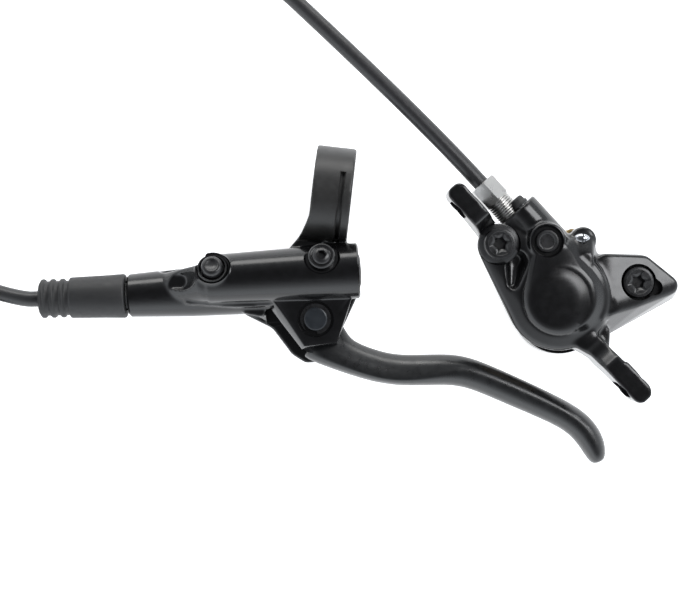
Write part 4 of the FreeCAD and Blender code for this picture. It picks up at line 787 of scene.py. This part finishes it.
def body_bolt(name, node, place, length, flange):
    """One bolt: shank, head with a turned rim, and the socket with its sloped mouth."""
    under = [(6.3, 0), (6.3, 0.8), (5.9, 1.15), (4.9, 1.3), (HEAD_RADIUS, 1.4)] if flange else [
        (3.0, 0), (HEAD_RADIUS, 0)]
    piece = made(name, lathe([(0, -length), (2.6, -length), (3.0, -length + 0.5), *under, (HEAD_RADIUS, 4.55),
                              (4.6, 4.85), (4.3, 5.0), (3.75, 5.0), (3.55, HEAD_TOP), (0, HEAD_TOP)], place))
    for socket in (star(3.6, 2.6, 0.5, 0.66), star(2.35, 1.7, 2.4, 0.95)):
        bmesh.ops.transform(socket, matrix=place @ Matrix.Translation((0, 0, HEAD_TOP)), verts=socket.verts)
        carved(piece, socket, slot=1)
    finished(piece, black_steel, worn_socket)
    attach(piece, "root")
    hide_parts(node)


body_bolt("near_bolt_star", "near_body_bolt", spot(NEAR, NEAR_SEAT), 23.2, True)
body_bolt("far_bolt_star", "far_body_bolt", spot(FAR, FAR_SEAT), 18.2, False)


# The plug of the fluid bore and the bright split pin that holds the pads: the plug is pressed in
# and dished, and the pin's two legs go down through both halves, with its eye above the lug.

bore_plug = finished(made("bore_plug_dished", lathe([
    (0, -0.9), (2.1, -0.85), (2.45, -0.45), (2.7, -0.4), (3.3, -0.5), (3.5, -0.8), (3.5, -4), (0, -4)],
    spot(PLUG, 17.4))), black_steel, sharp=40)
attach(bore_plug, "root")
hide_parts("bore_plug")

chrome = grain(shader("chrome", (0.56, 0.57, 0.58), 0.1, 1.0), 600, 0.000008, 0.06, 0.16,
               (0.45, 0.46, 0.48))


def split_pin():
    """Two half-round legs side by side, ending in a flattened eye of two lobes."""
    turn = spot(LUG, 14.0) @ Matrix.Rotation(math.radians(44), 4, "Z")
    eye = bmesh.new()
    bmesh.ops.create_uvsphere(eye, u_segments=48, v_segments=32, radius=1)
    bmesh.ops.transform(eye, matrix=turn @ Matrix.Diagonal((2.5, 1.65, 1.25, 1)), verts=eye.verts)
    piece = made("split_pin_eyed", rod(spot(LUG), 1.5, -14.5, 13.8, steps=32))
    carved(piece, eye, "UNION")
    carved(piece, slab([(-0.2, -3), (0.2, -3), (0.45, 3), (0.05, 3)], 0.3, 3, turn))
    carved(piece, slab([(0.9, -3), (1.15, -3), (1.0, 0.4), (0.75, 0.4)], 0.5, 3, turn))
    return finished(piece, chrome, sharp=45)


pin = split_pin()
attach(pin, "root")
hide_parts("split_pin")


# The connecting bolt of the caliper's hose joint: nickel-plated steel, its hexagon turned off at
# both ends, with a thread that shows between the hexagon and the port.

nickel = grain(shader("nickel_plate", (0.43, 0.425, 0.415), 0.3, 1.0), 500, 0.000008, 0.24, 0.38,
               (0.36, 0.355, 0.345))
ACROSS_FLATS = 8
HEX_LOW, HEX_HIGH = 34.4, 41.6
THREAD_TURNS, THREAD_PITCH = 17, 0.78


def connecting_bolt():
    """Hexagon, neck and thread round the way for the hose."""
    corner_radius = ACROSS_FLATS / math.sqrt(3)
    piece = made("connecting_bolt_nickel", rod(NUT_LINE, corner_radius, HEX_LOW, HEX_HIGH, steps=6))
    turned_ends = lathe([(0, HEX_LOW - 1), (3.7, HEX_LOW - 0.05), (3.9, HEX_LOW), (5.0, HEX_LOW + 0.75),
                         (5.0, HEX_HIGH - 0.75), (3.9, HEX_HIGH), (0, HEX_HIGH + 0.05)], NUT_LINE)
    carved(piece, turned_ends, "INTERSECT")
    thread = [(0, 21.3), (3.7, 21.3)]
    for turn in range(THREAD_TURNS):
        start = 21.5 + THREAD_PITCH * turn
        thread += [(3.75, start), (4.0, start + 0.3), (4.0, start + 0.42), (3.75, start + 0.72)]
    carved(piece, lathe(thread + [(3.7, HEX_LOW + 0.3), (0, HEX_LOW + 0.3)], NUT_LINE), "UNION")
    carved(piece, rod(NUT_LINE, 2.75, 10, 60))
    return finished(piece, nickel)


hose_bolt = connecting_bolt()
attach(hose_bolt, "root")
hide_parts("caliper_connecting_bolt")


# The bleed nipple's cap: a small moulded rubber hood with a collar, pressed over the nipple
# beside the hose port to keep dirt out of it.

cap_line = CALIPER @ facing((-1, 0, 0), (0, 11.0, 12.9))
nipple_cap = finished(made("nipple_cap_moulded", lathe([
    (1.6, 28.4), (2.3, 28.4), (2.45, 28.7), (2.45, 29.3), (2.1, 29.6), (2.05, 30.6), (1.8, 31.1), (1.2, 31.3),
    (0, 31.35), (0, 30.3), (1.6, 30.3)], cap_line)), rubber, sharp=50)
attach(nipple_cap, "root")
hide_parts("bleed_nipple_cap")


# The return spring of the master cylinder: four turns of spring steel wire, wound cold. The piston
# squeezes it; here it keeps the CAD node's own shape and stays where it lies.

spring_steel = grain(shader("spring_steel", (0.3, 0.3, 0.31), 0.3, 1.0), 700, 0.000004, 0.22, 0.36,
                     (0.22, 0.22, 0.23))
coil = made("return_spring_wound", copied("return_spring"))
finished(coil, spring_steel)
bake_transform(coil)
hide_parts("return_spring")


# The pads: a plate each, stamped from steel and passivated to a golden colour, with a block of
# friction lining moulded on it. Their lower corners are rounded to the caliper's outline.

gold_steel = grain(shader("gold_passivated_steel", (0.5, 0.36, 0.16), 0.4, 1.0), 300, 0.000008, 0.3, 0.5,
                   (0.42, 0.33, 0.2))
lining = grain(shader("friction_lining", (0.1, 0.085, 0.07), 0.9), 1400, 0.00008, 0.8, 1.0,
               (0.25, 0.22, 0.18))


def backing(node, name, finish):
    """A pad's plate or lining with the rounded lower corners that its stamping leaves."""
    piece = made(name, copied(node))
    rounded = hulled([(0, 0, -9, 13.2), (0, 0, 9, 13.2), (0, 24, -9, 18), (0, 24, 9, 18)], PADS)
    carved(piece, rounded, "INTERSECT")
    finished(piece, finish)
    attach(piece, node.split("_")[0] + "_pad")
    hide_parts(node)


for side in ("outer", "inner"):
    backing(side + "_pad_plate", side + "_plate_stamped", gold_steel)
    backing(side + "_pad_lining", side + "_lining_moulded", lining)


# The parts that hardly show: turned steel, brass, aluminium and moulded seals, each with its own
# finish. They are fitted inside the bores or clamped between the two halves.

steel = grain(shader("ground_steel", (0.42, 0.43, 0.44), 0.3, 1.0), 500, 0.000006, 0.22, 0.4,
              (0.34, 0.35, 0.36))
blued_steel = grain(shader("blued_steel", (0.015, 0.018, 0.022), 0.34, 0.2), 500, 0.000005, 0.28, 0.42,
                    (0.02, 0.024, 0.029))
bare_aluminium = grain(shader("bare_aluminium", (0.78, 0.79, 0.8), 0.5, 1.0), 300, 0.000006, 0.44, 0.56,
                       (0.66, 0.67, 0.68), (1, 1, 9))
brass = grain(shader("turned_brass", (0.72, 0.53, 0.25), 0.3, 1.0), 500, 0.000005, 0.22, 0.38,
              (0.62, 0.44, 0.2))
seal_rubber = grain(shader("seal_rubber", (0.015, 0.015, 0.015), 0.45), 900, 0.00001, 0.38, 0.52,
                    (0.02, 0.02, 0.02))

FINISHES = {
    gloss_black: ["lever_body", "caliper_outer_half", "caliper_inner_half", "lever_blade"],
    black_steel: ["clamp_bolt", "fill_plug", "bleed_screw", "near_body_bolt", "far_body_bolt", "bore_plug",
                  "pivot_snap_ring", "lever_connecting_bolt"],
    blued_steel: ["pivot_pin"],
    steel: ["push_rod_nut", "reach_adjust_screw", "push_rod", "bleed_nipple", "outer_piston", "inner_piston"],
    spring_steel: ["piston_retaining_ring", "return_spring", "pad_spring"],
    bare_aluminium: ["master_piston"],
    brass: ["lever_olive", "lever_barb", "caliper_olive", "caliper_barb", "pivot_bush"],
    chrome: ["split_pin"],
    nickel: ["caliper_connecting_bolt"],
    seal_rubber: ["reservoir_diaphragm", "crossover_o_ring", "outer_piston_seal", "inner_piston_seal",
                  "primary_cup", "secondary_cup"],
    rubber: ["hose_cover", "bleed_nipple_cap", "reservoir_end_cap"],
    hose_jacket: ["hose_lever_run", "hose_caliper_run", "hose_coil"],
    gold_steel: ["outer_pad_plate", "inner_pad_plate"],
    lining: ["outer_pad_lining", "inner_pad_lining"],
}
for finish, names in FINISHES.items():
    for name in names:
        nodes[name].data.materials.clear()
        nodes[name].data.materials.append(finish)
